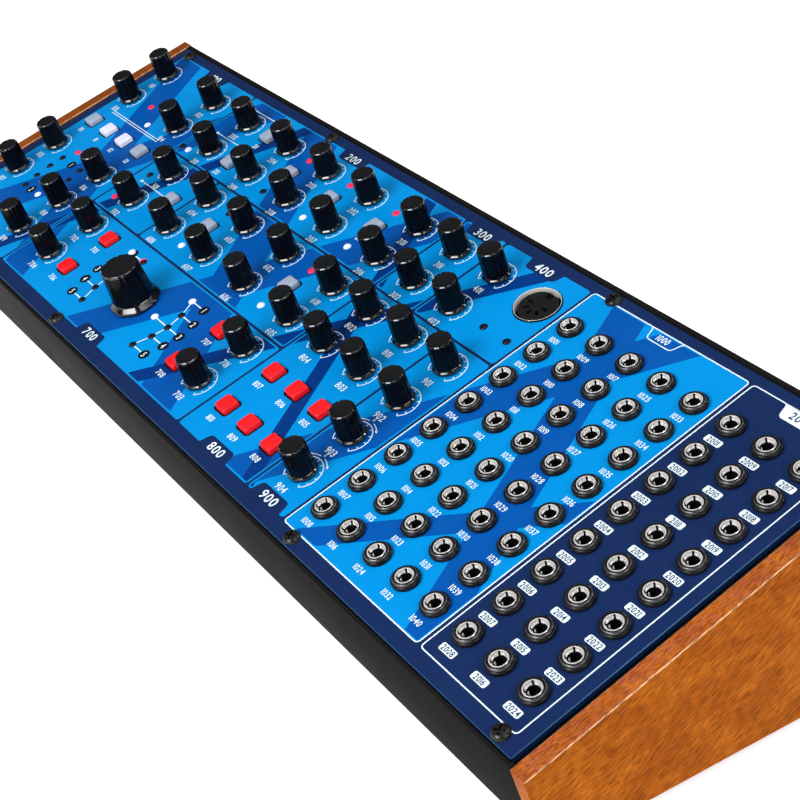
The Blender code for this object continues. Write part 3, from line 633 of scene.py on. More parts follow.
# %% Digits
GLYPHS = {}
for sign in "0123456789":
    text = bpy.data.curves.new("glyph", "FONT")
    text.body = sign
    text.resolution_u = 3
    text.offset = 0.014
    holder = hold(text)
    shape = worked_out(holder)
    bpy.data.objects.remove(holder, do_unlink=True)
    across = [vertex.co.x for vertex in shape.vertices]
    upward = [vertex.co.y for vertex in shape.vertices]
    left, wide, tall = min(across), max(across) - min(across), max(upward)
    GLYPHS[sign] = (wide / tall, [[((across[i] - left) / tall, upward[i] / tall)
                                   for i in face.vertices] for face in shape.polygons])


def number(value, u, v, height, squeeze=0.8):
    """Outlines of a number centred on a place."""
    gap = 0.16  # between two digits, as a share of their height
    signs = str(value)
    pen = -(sum(GLYPHS[sign][0] for sign in signs) + gap * (len(signs) - 1)) / 2
    result = []
    for sign in signs:
        wide, outlines = GLYPHS[sign]
        for outline in outlines:
            result.append([(u + (pen + x) * height * squeeze, v + (y - 0.5) * height)
                           for x, y in outline])
        pen += wide + gap
    return result


print("glyph faces:", sum(len(outlines) for _, outlines in GLYPHS.values()))

# %% [markdown]
# ## Steel case and cheeks
#
# The case is folded from steel sheet and coated, and stands on four rubber feet. Its CAD
# outline is right, so it isn't drawn again: a copy gets small rounded bends, as folded
# sheet has. The cheeks are cut anew from the CAD side's outline, because their eased edges
# need faces of their own for the pale stain, which is partly a painted highlight. The left
# one is painted darker all over, as painted shade; the right one's sides are painted
# lighter, as painted light.


# %% A copy with rounded edges
def rounded_copy(node, width, segments):
    """The node's shape with its sharp edges rounded."""
    shape = bmesh.new()
    shape.from_mesh(frame["nodes"][node].data)
    bmesh.ops.remove_doubles(shape, verts=shape.verts, dist=1e-6)
    bmesh.ops.dissolve_limit(shape, angle_limit=radians(0.5), verts=shape.verts,
                             edges=shape.edges)
    sharp = [edge for edge in shape.edges
             if len(edge.link_faces) == 2 and edge.calc_face_angle() > radians(30)]
    ease(shape, sharp, width, segments, clamp_overlap=True)
    return soften(settle(shape, bpy.data.meshes.new(node + "_shape")), 40)


FOOT_TOP = 2.9
case_mesh = rounded_copy("case_tray", 0.3, 2)
piece("steel_case", case_mesh, [coat, rubber], ["case_tray"])
sort_faces(case_mesh, lambda reach, height: height < FOOT_TOP)
print("case faces:", len(case_mesh.polygons))


# %% Cheeks
def cheek(name, node, materials):
    """A wooden side with rounded edges, from the CAD side's outline."""
    low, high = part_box(node)
    spots = [(vertex.co.y, vertex.co.z) for vertex in frame["nodes"][node].data.vertices]
    front, rear = min(spots)[0], max(spots)[0]
    bottom, top = min(z for _, z in spots), max(z for _, z in spots)
    near = 0.6 * MM
    outline = [(front, max(z for y, z in spots if y < front + near)),
               (min(y for y, z in spots if z < bottom + near), bottom),
               (rear, bottom), (rear, top)]
    shape = bmesh.new()
    sides = [[shape.verts.new((x, y, z)) for y, z in outline] for x in (low[0], high[0])]
    shape.faces.new(sides[0])
    shape.faces.new(reversed(sides[1]))
    for k in range(4):
        after = (k + 1) % 4
        shape.faces.new((sides[0][after], sides[0][k], sides[1][k], sides[1][after]))
    bmesh.ops.recalc_face_normals(shape, faces=shape.faces)
    ease(shape, shape.edges[:], 0.28, 1)
    mesh = settle(shape, bpy.data.meshes.new(name))
    # Eased faces (1) take the pale edge, partly a painted highlight; upward faces (2) the top
    # wood; the rest (0) the side wood, painted lighter or darker per cheek.
    for face in mesh.polygons:
        sideways = abs(face.normal.x)
        eased = 0.15 < sideways < 0.95 and face.normal.z > 0.1
        face.material_index = 1 if eased else 2 if face.normal.z > 0.5 else 0
    soften(mesh, 25)
    return piece(name, mesh, materials, [node])


# Left cheek painted darker as painted shade; the right cheek's sides painted lighter as painted
# light.
cheek("wooden_cheek_left", "left_cheek", [painted_shade_wood, edge_wear_and_highlight, painted_shade_wood])
right = cheek("wooden_cheek_right", "right_cheek", [wood, edge_wear_and_highlight, wood_top])
print("cheek faces:", len(right.data.polygons))

# %% [markdown]
# ## The panel plate
#
# A two-millimetre plate with everything that pierces it: 64 socket holes, a hole for each
# shaft, 22 square windows with round corners and the opening of the round connector. Dark
# spots on top could stand for the holes. Real ones, taken out by one cut with all the
# outlines at once, have rims and depth and look right from every side.

# %% Places of everything on the panel
BIG = (column(5), row(4.62))
knob_places = {f"r{r + 1}_c{c + 1}": (COLUMNS[c], ROWS[r]) for r in range(6)
               for c in range(10) if f"turn_r{r + 1}_c{c + 1}" in joints}
axes = list(knob_places.values()) + [BIG]
pressed = {f"r{r + 1}_{3 - k}": (COLUMNS[0] - 17.3 - 13.75 * k, ROWS[r])
           for r in (4, 5) for k in range(3)}
fixed_red = [(column(c), row(r)) for c, r in ((6.5, 4), (6.5, 5), (3.5, 4), (3.5, 5))]
fixed_grey = [(column(c), row(r)) for c, r in ((6.5, 0), (6.5, 1), (5.5, 0.5), (4.5, 0.5),
                                               (3.5, 0.5), (6.5, 2.5), (5.5, 2.5),
                                               (3.5, 2.5))]
selectors = [(COLUMNS[9] + (COLUMNS[8] - COLUMNS[9]) * k / 3, ROWS[2]) for k in range(4)]
all_caps = list(pressed.values()) + fixed_red + fixed_grey + selectors
jacks = [(u, v) for u in JACK_COLUMNS for v in JACK_ROWS]
inputs, outputs = jacks[:40], jacks[40:]
DIN_SPOT = (68.3, 110.2)
WINDOW = 7.4
windows = [square(u, v, WINDOW, 1.3) for u, v in all_caps]
opening = disc(*DIN_SPOT, 8.1, 40)
JACK_HOLE, SHAFT_HOLE = 3.0, 2.75
socket_holes = [disc(u, v, JACK_HOLE, 20) for u, v in jacks]
print("knobs:", len(knob_places) + 1, "caps:", len(all_caps), "sockets:", len(jacks))

# %% Plate and holes
plate_mesh = prism_mesh("panel_plate", [rounded_box(-HALF_WIDTH, 0.0, HALF_WIDTH, DEPTH, 0.5)],
                        -2.0, 0.0)
shape = bmesh.new()
shape.from_mesh(plate_mesh)
top_edges = [edge for edge in shape.edges if all(abs(v.co.z) < 1e-6 for v in edge.verts)]
ease(shape, top_edges, 0.2, 1)
plate = piece("panel_plate", settle(shape, plate_mesh), [navy, painted_edge_highlight],
              ["front_panel"], PANEL)
holes = socket_holes + [disc(u, v, SHAFT_HOLE, 16) for u, v in axes] + windows + [opening]
cut(plate, hold(prism_mesh("holes", holes, -4.0, 2.0), PANEL))
# Faces of the bevelled top rim take the painted edge highlight.
for face in plate.data.polygons:
    face.material_index = 1 if 0.3 < face.normal.z < 0.95 else 0
soften(plate.data, 30)
print("plate faces:", len(plate.data.polygons), "holes:", len(holes))

# %% [markdown]
# ## Printing
#
# Five inks lie on the plate: light blue sections with round corners on the navy ground,
# straight bands of two deeper blues across them, navy tabs for the section numbers, and
# white lines, dials and numbers on top. A painted texture could hold all that, but
# outlines with a real thickness stay sharp at any distance. Each layer lies a few
# hundredths of a millimetre over the one below, so that no two share a level. The bands
# are a plain diagonal layout of their own.

# %% Sections
SECTIONS = {
    "far_left": (-185.5, 5.0, -125.8, 124.7),
    "rear_left": (-125.8, 83.8, 14.4, 124.7),
    "rear_middle": (14.4, 83.8, 36.15, 124.7),
    "rear_right": (36.15, 83.8, 78.3, 124.7),
    "middle_left": (-125.8, 46.5, -88.0, 83.8),
    "middle": (-88.0, 46.5, 14.4, 83.8),
    "front_left": (-125.8, 5.0, 14.4, 46.5),
    "front_middle": (14.4, 5.0, 57.3, 83.8),
    "front_right": (57.3, 5.0, 78.3, 83.8),
}
INPUTS = (79.0, 5.2, 144.6, 124.5)
OUTPUTS = (146.1, 5.2, 185.5, 124.5)
SEAM = 0.5
INSET = 0.6
fields = [(u0 + SEAM, v0 + SEAM, u1 - SEAM, v1 - SEAM) for u0, v0, u1, v1
          in SECTIONS.values()]
patches = [rounded_box(*field, 1.2) for field in fields] + [rounded_box(*INPUTS, 1.0)]


def pierced(outlines, name, low, high, material):
    """An ink layer that stays off the windows and openings of the plate."""
    layer = piece(name, prism_mesh(name, outlines, low, high), [material],
                  matrix=PANEL)
    spared = windows + [opening] + socket_holes[:len(inputs)]
    cut(layer, hold(prism_mesh("spared", spared, -1.0, 1.0), PANEL))


# %% Bands
def slanted(rows):
    """Straight bands across the sections, from (foot, lean in degrees, half width)."""
    found = []
    for u, lean, wide in rows:
        run = DEPTH / tan(radians(lean))
        strip = [(u - wide, 0.0), (u + wide, 0.0), (u + wide + run, DEPTH),
                 (u - wide + run, DEPTH)]
        for u0, v0, u1, v1 in fields + [INPUTS]:
            found.append(clip(strip, u0 + INSET, v0 + INSET, u1 - INSET, v1 - INSET))
    return [band for band in found if band]


pierced(patches, "ink_light_blue", 0.004, 0.03, sky)
DEEP_BANDS = [(-176.0, 62.0, 9.0), (-112.0, 118.0, 8.0), (-64.0, 58.0, 9.0),
              (2.0, 122.0, 10.0), (46.0, 60.0, 8.0), (84.0, 46.0, 5.0), (148.0, 113.0, 7.0)]
for k, band in enumerate(DEEP_BANDS):
    pierced(slanted([band]), f"ink_deep_blue_{k + 1}", 0.031, 0.033 + 0.0015 * k, deep)
pierced(slanted([(-140.0, 66.0, 3.2), (-22.0, 56.0, 3.6), (60.0, 118.0, 3.0)]),
        "ink_dusk_blue", 0.044, 0.05, dusk)
print("sections:", len(patches), "bands:", len(DEEP_BANDS))

# %% [markdown]
# White ink comes last. Every knob has a dial of one arc with eleven ticks, open towards the
# front. Sockets of the light field carry bare numbers, those of the navy field dark numbers
# on white tags, and thin lines frame both fields. A line is a strip of four-sided faces
# along a path, which is much lighter than a curve object for each.

# %% White lines, dials and numbers
ink = []
for frame_box in (INPUTS, OUTPUTS):
    ink += stroke(rounded_box(*frame_box, 1.2), 0.4, closed=True)


def dial(u, v, radius, ticks=11, gap=42.0):
    """Arc and inward ticks round a knob, open at the front."""
    first, last = -90 + gap, 270 - gap
    lines = stroke(arc(u, v, radius, first, last), 0.32)
    for k in range(ticks):
        angle = radians(first + (last - first) * k / (ticks - 1))
        lines += stroke([polar(u, v, radius - 0.95, angle),
                         polar(u, v, radius + 0.1, angle)], 0.3)
    return lines


counts = [0] * (len(SECTIONS) + 1)


def next_number(u, v):
    """Running number inside the printed section that holds a place."""
    section = next((k + 1 for k, (u0, v0, u1, v1) in enumerate(SECTIONS.values())
                    if u0 <= u <= u1 and v0 <= v <= v1), 0)
    counts[section] += 1
    return 100 * section + counts[section]


DIAL_RADIUS, ARROW_RADIUS = 6.22, 7.3
for name, (u, v) in sorted(knob_places.items()):
    ink += dial(u, v, DIAL_RADIUS)
    ink += number(next_number(u, v), u, v - 8.1, 2.5)
for u, v in (knob_places["r5_c1"], knob_places["r6_c1"]):
    for side in (-1, 1):
        angle = 90 - side * 38
        ink += stroke(arc(u, v, ARROW_RADIUS, 90 - side * 8, angle, 12), 0.3)
        tip = polar(u, v, ARROW_RADIUS, radians(angle))
        lean = radians(angle - side * 90)
        ink.append([polar(*tip, reach, lean + turn)
                    for reach, turn in ((0.9, 0.0), (0.55, 2.0), (0.55, -2.0))])
    ink += number(0, u, v + 8.3, 1.3)
for u, v in all_caps:
    ink += number(next_number(u, v), u, v - 6.6, 2.2)
for k, (u, v) in enumerate(inputs):
    ink += number(1001 + k, u, v - 6.5, 2.0)
ink += [rounded_box(u - 2.9, v - 7.95, u + 2.9, v - 5.45, 0.6, 3) for u, v in outputs]
print("white outlines:", len(ink))

# %% [markdown]
# Tabs name the sections. A tab is a small navy foot that grows out of the border, with a
# white number; the two patch fields have a drawn tab and a filled one. One function draws
# them all from half an outline, so that every tab is even.

# %% Tabs and section numbers
def tab(u, half, edge, tip):
    """A tab that grows from the border at edge towards tip, round where it turns."""
    step = 1.0 if tip > edge else -1.0
    side = [(half + 1.6, edge), (half + 0.7, edge + 0.9 * step), (half, tip - 1.3 * step),
            (half - 0.5, tip - 0.4 * step), (half - 1.4, tip)]
    points = [(u - w, v) for w, v in side] + [(u + w, v) for w, v in reversed(side)]
    return points if step < 0 else points[::-1]


navy_tabs = []
for edge, tip, v, titles in (
        (4.9, 9.9, 7.1, ((-52.0, 700), (36.5, 800), (67.8, 900))),
        (124.8, 119.9, 122.4, ((-155.0, 100), (-52.5, 200), (25.3, 300), (57.0, 400)))):
    for u, value in titles:
        navy_tabs.append(tab(u, 7.2, edge, tip))
        ink += number(value, u, v, 3.3, 1.0)
ink += stroke(tab(112.0, 5.4, 124.5, 120.0), 0.38)
ink += number(1000, 112.0, 122.3, 2.4, 0.75)
ink.append(tab(166.0, 6.6, 124.6, 119.6))
print_ink("ink_navy_tabs", navy_tabs, 0.052, 0.06, navy)

# %% [markdown]
# Beside the large knob a small chart joins lamps and numbered badges by white lines, once
# on each side. It is printed the same way, with round dark badges under the numerals. The
# second chart is the first one mirrored, so only one set of places is kept.

# %% Charts beside the large knob
CHART_LAMPS = []
BADGES = []
CHART_LINE = 0.42
for mirror, shift in ((1, 0.0), (-1, 2 * BIG[0] + 1.2)):
    knots = [(mirror * u + shift, v) for u, v in (
        (-34.5, 39.9), (-31.3, 33.5), (-30.0, 27.0), (-30.9, 21.0), (-33.0, 14.4))]
    ink += stroke(knots, CHART_LINE)
    for k, (u, v) in enumerate(knots):
        far = (u + mirror * 8.2, v)
        ink += stroke([(u, v), far], CHART_LINE)
        BADGES.append((far, k + 1))
        CHART_LAMPS.append(((u, v), mirror > 0 and k == 0))
    hub = (knots[2][0] - mirror * 9.4, knots[2][1])
    ink += stroke([hub, knots[2]], CHART_LINE)
    CHART_LAMPS.append((hub, mirror > 0))
for v in (83.0, 84.1):
    ink += stroke([(-177.0, v), (-137.5, v)], 0.32)
for v in (119.1, 101.4, 65.6):
    ink += stroke([(-118.7, v), (-101.2, v)], 0.38)
    ink.append(disc(-118.7, v, 0.7, 12))
BADGES += [((-157.6, 53.1), 1), ((-158.0, 34.4), 2)]
CHART_LAMPS += [(spot, False) for spot in (
    (-166.2, 53.3), (-166.2, 47.2), (-165.3, 40.6), (-163.5, 34.4), (-150.2, 53.3),
    (-148.8, 47.2), (-149.4, 40.6), (-119.2, 69.6), (-124.0, 88.0))]
print_ink("ink_badges", [disc(*place, 2.1) for place, _ in BADGES], 0.085, 0.1, lamp_dark)
numerals = []
for (u, v), value in BADGES:
    numerals += number(value, u, v, 2.3)
print_ink("ink_badge_numbers", numerals, 0.102, 0.115, white)
print_ink("ink_white", ink, 0.062, 0.082, white)
tag_numbers = []
for k, (u, v) in enumerate(outputs):
    tag_numbers += number(2001 + k, u, v - 6.7, 1.85)
tag_numbers += number(2000, 166.0, 122.2, 2.7, 0.9)
print_ink("ink_tag_numbers", tag_numbers, 0.084, 0.098, navy)
print("badges:", len(BADGES))

# %% [markdown]
# ## Patch sockets
#
# A socket shows three pieces: a round black nut with a sloping shoulder, a bright threaded
# bush with four notches for the spanner, and the dark barrel with its spring contact. All
# 64 are alike, so each piece is turned once and stamped into a single mesh, which is
# lighter than 64 objects. The turn of each copy differs a little, as it does by hand.

# %% Nuts, bushes and barrels
nut = lathe("nut", [(2.77, 1.2), (2.79, 1.82), (2.88, 1.92), (3.22, 1.96), (3.46, 1.88),
                    (3.64, 1.68), (3.7, 1.44), (3.78, 1.34), (3.98, 1.28), (4.17, 1.14),
                    (4.27, 0.92), (4.29, 0.2), (4.24, 0.05), (2.77, 0.05)], 40)
sort_faces(nut, lambda reach, height: 3.3 < reach < 3.66)
bush = lathe("bush", [(1.92, -6.0), (1.92, 0.66), (1.98, 0.78), (2.26, 1.16), (2.32, 1.3),
                      (2.36, 1.84), (2.42, 1.94), (2.52, 1.97), (2.63, 1.95), (2.71, 1.86),
                      (2.74, 1.6), (2.74, -1.8), (2.3, -1.8)], 48)
notches = [((1.5, -0.3, -1.5), (2.4, 0.3, 2.4)), ((-2.4, -0.3, -1.5), (-1.5, 0.3, 2.4)),
           ((-0.3, 1.5, -1.5), (0.3, 2.4, 2.4)), ((-0.3, -2.4, -1.5), (0.3, -1.5, 2.4))]
bush = carved(bush, box_mesh("notches", notches))
sort_faces(bush, lambda reach, height: height < 0.7)
barrel = lathe("barrel", [(0.0, -5.6), (1.9, -5.6), (1.94, 0.5), (2.4, 0.5), (2.4, -6.4),
                          (0.0, -6.4)], 24)
leaf = box_mesh("leaf", [((-1.55, -0.42, -4.8), (-1.2, 0.42, 0.45))], 0.1)
places = [at(u, v) @ Matrix.Rotation(0.8 + 0.09 * sin(7.0 * k), 4, "Z")
          for k, (u, v) in enumerate(jacks)]
stamped("socket_nuts", nut, places, [nut_black, nut_edge])
stamped("socket_bushes", bush, places, [chrome, dark_hole])
stamped("socket_barrels", barrel, places, [dark_hole])
stamped("socket_contacts", leaf, places, [contact])
print("sockets:", len(places))

# %% [markdown]
# ## Knobs
#
# The knobs are glossy mouldings with eight broad lobes between narrow grooves. At the foot
# each lobe flares out into a flat facet of the skirt, and the top is a matte disc inside a
# tight glossy edge. Grooves could be cut from a cone, but one radius rule on the lathe
# keeps the mesh even, so that highlights run clean: it flattens the lobes, sinks the
# grooves and tells body and skirt apart by height.


# %% Small knob
def lobed(depth, foot, flat):
    """Radius rule: eight flattened lobes, and grooves between them above the foot."""
    def rule(radius, height, angle):
        turn = abs(((angle - GROOVE_TURN) * 8 / (2 * pi)) % 1.0 - 0.5)
        groove = max(0.0, (turn - LOBE_HALF) / (0.5 - LOBE_HALF))
        if height > foot:
            chord = cos(LOBE_HALF * pi / 4) / cos(min(turn, LOBE_HALF) * pi / 4)
            return radius * (1.0 + BODY_FLAT * (chord - 1.0)) - depth * groove ** GROOVE_CURVE
        chord = cos(pi / 8) / cos(turn * pi / 4)
        return radius * (1.0 + flat * (chord - 1.0)) - 0.25 * depth * groove
    return rule


def knob_parts(disc_reach, disc_level, edge_reach, edge_level, skirt_level):
    """Face rule: 1 for the matte disc on top, 2 for its edge and the skirt, else 0."""
    def rule(reach, height):
        if height > disc_level and reach < disc_reach:
            return 1
        return 2 if reach > edge_reach and height > edge_level or height < skirt_level else 0
    return rule


KNOB_FINISHES = [gloss_black, matte_black, rim_black]
GROOVE_TURN = radians(-22.5)
LOBE_HALF = 0.32  # half of a lobe's width, as a share of an eighth of the turn
BODY_FLAT, GROOVE_CURVE = 0.75, 1.3
SMALL = [(0.0, 11.34), (3.38, 11.34), (3.46, 11.38), (3.52, 11.46), (3.6, 11.49),
         (3.85, 11.49), (4.1, 11.24), (4.15, 10.9), (4.18, 10.5),
         (4.29, 6.8), (4.4, 3.2), (4.44, 2.4), (4.46, 2.0), (4.5, 1.78), (4.58, 1.68),
         (4.6, 1.66), (4.94, 1.32), (4.96, 1.3), (5.02, 1.16), (5.03, 0.9), (5.0, 0.6),
         (4.3, 0.52), (3.7, 0.52)]
small = lathe("small_knob", SMALL, 80, lobed(0.42, 1.9, 0.8))
sort_faces(small, knob_parts(3.5, 11.2, 3.5, 10.9, 1.9))
for label, (u, v) in knob_places.items():
    piece(f"cap_{label}", small, KNOB_FINISHES, [f"knob_{label}"], at(u, v),
          f"knob_{label}_body")
print("small knobs:", len(knob_places), "faces each:", len(small.polygons))

# %% [markdown]
# The large knob follows the same rule over a wider skirt. Both then look like one family
# from the same mould maker, and only the profile is new.

# %% Large knob
LARGE = [(0.0, 15.84), (6.1, 15.84), (6.22, 15.92), (6.36, 15.97), (6.54, 15.86),
         (6.68, 15.6), (6.76, 15.1), (6.86, 13.6), (7.2, 8.8), (7.46, 4.6), (7.56, 3.6),
         (7.64, 3.0), (7.8, 2.72), (7.83, 2.69), (9.07, 1.53), (9.1, 1.5), (9.3, 1.3),
         (9.42, 0.95), (9.35, 0.52), (8.0, 0.52)]
large = lathe("large_knob", LARGE, 120, lobed(0.6, 3.1, 0.7))
sort_faces(large, knob_parts(6.1, 15.6, 6.2, 15.2, 3.0))
piece("cap_large", large, KNOB_FINISHES, ["large_knob"], at(*BIG),
      "large_knob_body")
print("large knob faces:", len(large.polygons))

# %% [markdown]
# ## Buttons and lamps
#
# A button is a soft square cap with a slightly crowned face that stands two millimetres
# proud in its window, where a dark collar closes the gap round it. A bevelled cube would
# look too hard, so the outline is a superellipse: its corners stay round all the way up.


# %% Caps
def cap_mesh(name, side, top):
    """A crowned cap with a superellipse outline."""
    def rule(radius, height, angle):
        power = 9.0
        return radius * (abs(cos(angle)) ** power + abs(sin(angle)) ** power) ** (-1 / power)
    half = side / 2
    crown = [(0.0, 0.0), (0.35, 0.01), (0.65, 0.03), (0.84, 0.1), (0.92, 0.22), (0.96, 0.42),
             (0.98, 0.8)]
    profile = [(half * share, top - drop) for share, drop in crown]
    profile += [(half, 0.2), (half, -2.4), (half * 0.9, -2.9)]
    return lathe(name, profile, 64, rule)


cap = cap_mesh("cap", 6.1, 1.9)
for label, (u, v) in pressed.items():
    piece(f"key_{label}", cap, [lit_red], [f"button_{label}"], at(u, v),
          f"button_{label}_body")
for name, spots, material in (("caps_red", fixed_red, lit_red),
                              ("caps_grey", fixed_grey + selectors[::3], dull_cap),
                              ("caps_white", selectors[1:3], lit_white)):
    stamped(name, cap, all_at(spots), [material])
collar = carved(prism_mesh("collar", [square(0.0, 0.0, 7.28, 1.2)], -1.9, 0.1),
                prism_mesh("bore", [square(0.0, 0.0, 6.32, 0.6)], -3.0, 1.0))
stamped("cap_collars", collar, all_at(all_caps), [dark_hole])
print("caps:", len(all_caps))

# %% [markdown]
# Lamps are small domes that stand a little over the plate. One dome is turned and stamped
# three times, for the lamps that are lit white, lit red or dark, because a finish belongs
# to a whole piece.

# %% Lamps
dome = lathe("lamp", [(0.0, 0.75), (0.6, 0.68), (1.05, 0.5), (1.35, 0.22), (1.45, 0.02),
                      (1.45, -0.6)], 20)
WHITE_LAMPS = [(-39.7, 90.7), (-11.05, 90.7), (-66.8, 54.1), (-11.05, 54.1), (-151.9, 34.5),
               (-152.6, 87.1), (-119.8, 88.0), (-80.7, 40.2)]
RED_LAMPS = [(-39.7, 112.1), (-67.1, 112.1), (-11.05, 112.1), (-11.05, 75.4), (-119.5, 53.6),
             (-163.2, 59.2), (-163.3, 94.9), (-71.7, 40.1)]
DARK_LAMPS = [(-67.1, 90.7), (-67.1, 75.4), (61.95, 93.4), (73.45, 93.4)]
lit_knots = [spot for spot, lit in CHART_LAMPS if lit]
dark_knots = [spot for spot, lit in CHART_LAMPS if not lit]
for name, spots, material in (("lamps_white", WHITE_LAMPS + lit_knots, lamp_white),
                              ("lamps_red", RED_LAMPS, lamp_red),
                              ("lamps_dark", DARK_LAMPS + dark_knots, lamp_dark)):
    stamped(name, dome, all_at(spots), [material])
print("lamps:", len(WHITE_LAMPS + RED_LAMPS + DARK_LAMPS + CHART_LAMPS))

# %% [markdown]
# ## The round connector
#
# A five-pin socket has a bright shell rim and a dark core with five pin holes on a half
# circle and a keyway. Painted spots would do from afar. The holes are cut as slots, which
# gives them the dark depth of real ones.

# %% Five-pin socket
rim = lathe("rim", [(7.46, -2.2), (7.5, 0.36), (7.56, 0.5), (7.64, 0.55), (7.72, 0.5),
                    (7.76, 0.38), (7.8, 0.2), (7.8, -7.6), (7.48, -7.6)], 64)
sort_faces(rim, lambda reach, height: reach > 7.7)
DIN = at(*DIN_SPOT)
piece("din_rim", rim, [shell_grey, nut_black], ["midi_in_socket"], DIN)
well = lathe("well", [(6.0, -7.2), (7.42, -7.2), (7.46, -2.2)], 64)
piece("din_well", well, [dark_hole], matrix=DIN)
core = lathe("core", [(0.0, 0.0), (6.3, 0.0), (6.5, -0.25), (6.5, -7.5), (0.0, -7.5)], 48)
core_item = piece("din_core", core, [moulding], matrix=DIN)
pin_holes = [rounded_box(-1.1, 3.8, 1.1, 6.6, 0.3)]
for turn in (180, 225, 270, 315, 360):
    c, d = cos(radians(turn)), sin(radians(turn))
    pin_holes.append([(a * c - b * d, a * d + b * c)
                      for a, b in rounded_box(2.3, -0.62, 4.75, 0.62, 0.6, 4)])
cut(core_item, hold(prism_mesh("pins", pin_holes, -6.5, 1.0), DIN))
print("pin holes:", len(pin_holes))

# %% [markdown]
# ## Screws
#
# Black pan-head screws hold the panel: a domed head, eased at its rim, with a cross cut
# into it. Two boxes cut the cross out of one turned head, and each copy gets an angle of
# its own, because no row of real screws stops at the same one.

# %% Panel screws
head = lathe("screw", [(0.0, 1.55), (0.8, 1.52), (1.6, 1.38), (2.2, 1.1), (2.6, 0.65),
                       (2.72, 0.3), (2.72, 0.05), (0.0, 0.05)], 32)
head = carved(head, box_mesh("slot", [((-1.55, -0.32, 0.55), (1.55, 0.32, 3.0))]),
              box_mesh("slot", [((-0.32, -1.55, 0.55), (0.32, 1.55, 3.0))]))
spots = [(u, v) for u in (-182.3, -71.4, 86.6, 182.3) for v in (3.0, 125.5)]
turned = [at(u, v) @ Matrix.Rotation(0.5 + 0.8 * k, 4, "Z") for k, (u, v) in enumerate(spots)]
stamped("panel_screws", head, turned, [screw_black])
print("screws:", len(turned))

# %% [markdown]
# ## Inside and behind
#
# The board under the panel is seen only through gaps, but it is complete: the bodies of the
# potentiometers, the sockets and the switches stand on it, and a bright shaft rises into
# each knob. Eased boxes are enough here, as only slivers of them show.

# %% Control board
boards = [((-185.7, 9.5, -11.6), (185.7, 119.0, -10.0))]
boards += [((u - 4.8, v - 4.8, -10.0), (u + 4.8, v + 5.2, -3.6)) for u, v in axes]
boards += [((u - 4.4, v - 4.9, -10.0), (u + 4.4, v + 4.9, -2.4)) for u, v in jacks]
boards += [((u - 3.4, v - 3.4, -10.0), (u + 3.4, v + 3.4, -3.9)) for u, v in all_caps]
board = box_mesh("control_board_dressed", boards, 0.15)
piece("control_board_dressed", board, [laminate, moulding], ["control_board"], PANEL)
sort_faces(board, lambda reach, height: height > -9.9)
shaft = lathe("shaft", [(0.0, 8.0), (2.0, 8.0), (2.25, 7.7), (2.25, -3.6), (0.0, -3.6)], 20)
stamped("shafts", shaft, all_at(axes), [shell_grey])
print("boxes on the board:", len(boards) - 1)

# %% [markdown]
# The rear board keeps its CAD form in black plastic. Its sockets get bright collets and rims
# turned on the same lathe, a metal liner of thin boxes, and plain numbers above them.

# %% Rear sockets
WALL_Y = 62.289
SOCKET_FACE = 1.6
REAR_Z = 41.0
INLET, ROCKER, SQUARE, ROUND = 165.35, 145.35, 123.35, 99.35
PHONES = (69.35, 44.35, 19.35)
REAR = Matrix(((-1.0, 0.0, 0.0, 0.0), (0.0, 0.0, 1.0, WALL_Y * MM), (0.0, 1.0, 0.0, 0.0),
               (0.0, 0.0, 0.0, 1.0)))


def behind(x, height, out=0.0):
    """World matrix of a place on the rear wall, facing backwards."""
    return REAR @ Matrix.Translation((-x * MM, height * MM, out * MM))


collet = lathe("collet", [(3.32, -0.5), (3.32, 0.72), (3.46, 0.88), (4.02, 0.88), (4.2, 0.72),
                          (4.2, -0.05)], 40)
ring = lathe("ring", [(4.3, -0.05), (4.3, 0.34), (4.42, 0.44), (5.2, 0.44), (5.36, 0.3),
                      (5.36, -0.05)], 40)
phones = [behind(x, REAR_Z, SOCKET_FACE) for x in PHONES]
stamped("rear_collets", collet, phones, [chrome])
stamped("rear_nuts", ring, phones, [nut_black])
inlet = lathe("inlet_ring", [(3.16, -0.6), (3.16, 0.12), (3.3, 0.2), (3.9, 0.2), (4.0, 0.1),
                             (4.0, -0.05)], 32)
piece("inlet_ring", inlet, [chrome], matrix=behind(INLET, REAR_Z, SOCKET_FACE))
round_rim = lathe("round_rim", [(6.36, -0.5), (6.4, 0.16), (6.55, 0.26), (7.1, 0.26),
                                (7.25, 0.14), (7.25, -0.05)], 48)
piece("output_rim", round_rim, [shell_grey], matrix=behind(ROUND, REAR_Z, SOCKET_FACE))
pins = [disc(*polar(-ROUND, REAR_Z, 3.75, radians(-turn)), 0.75, 14)
        for turn in (0, 45, 90, 135, 180)]
pins.append(rounded_box(-ROUND - 1.0, REAR_Z + 4.4, -ROUND + 1.0, REAR_Z + 5.9, 0.2))
print_ink("output_pins", pins, 1.0, 1.13, dark_hole, REAR)
liner = [((-4.25, -3.9, -3.0), (-4.0, 3.9, 0.1)), ((4.0, -3.9, -3.0), (4.25, 3.9, 0.1)),
         ((-4.25, 3.65, -3.0), (4.25, 3.9, 0.1)), ((-4.25, -3.9, -3.0), (4.25, -3.65, 0.1))]
piece("square_liner", box_mesh("square_liner", liner), [shell_grey],
      matrix=behind(SQUARE, REAR_Z, SOCKET_FACE))
print("rear sockets:", len(phones), "pins:", len(pins))

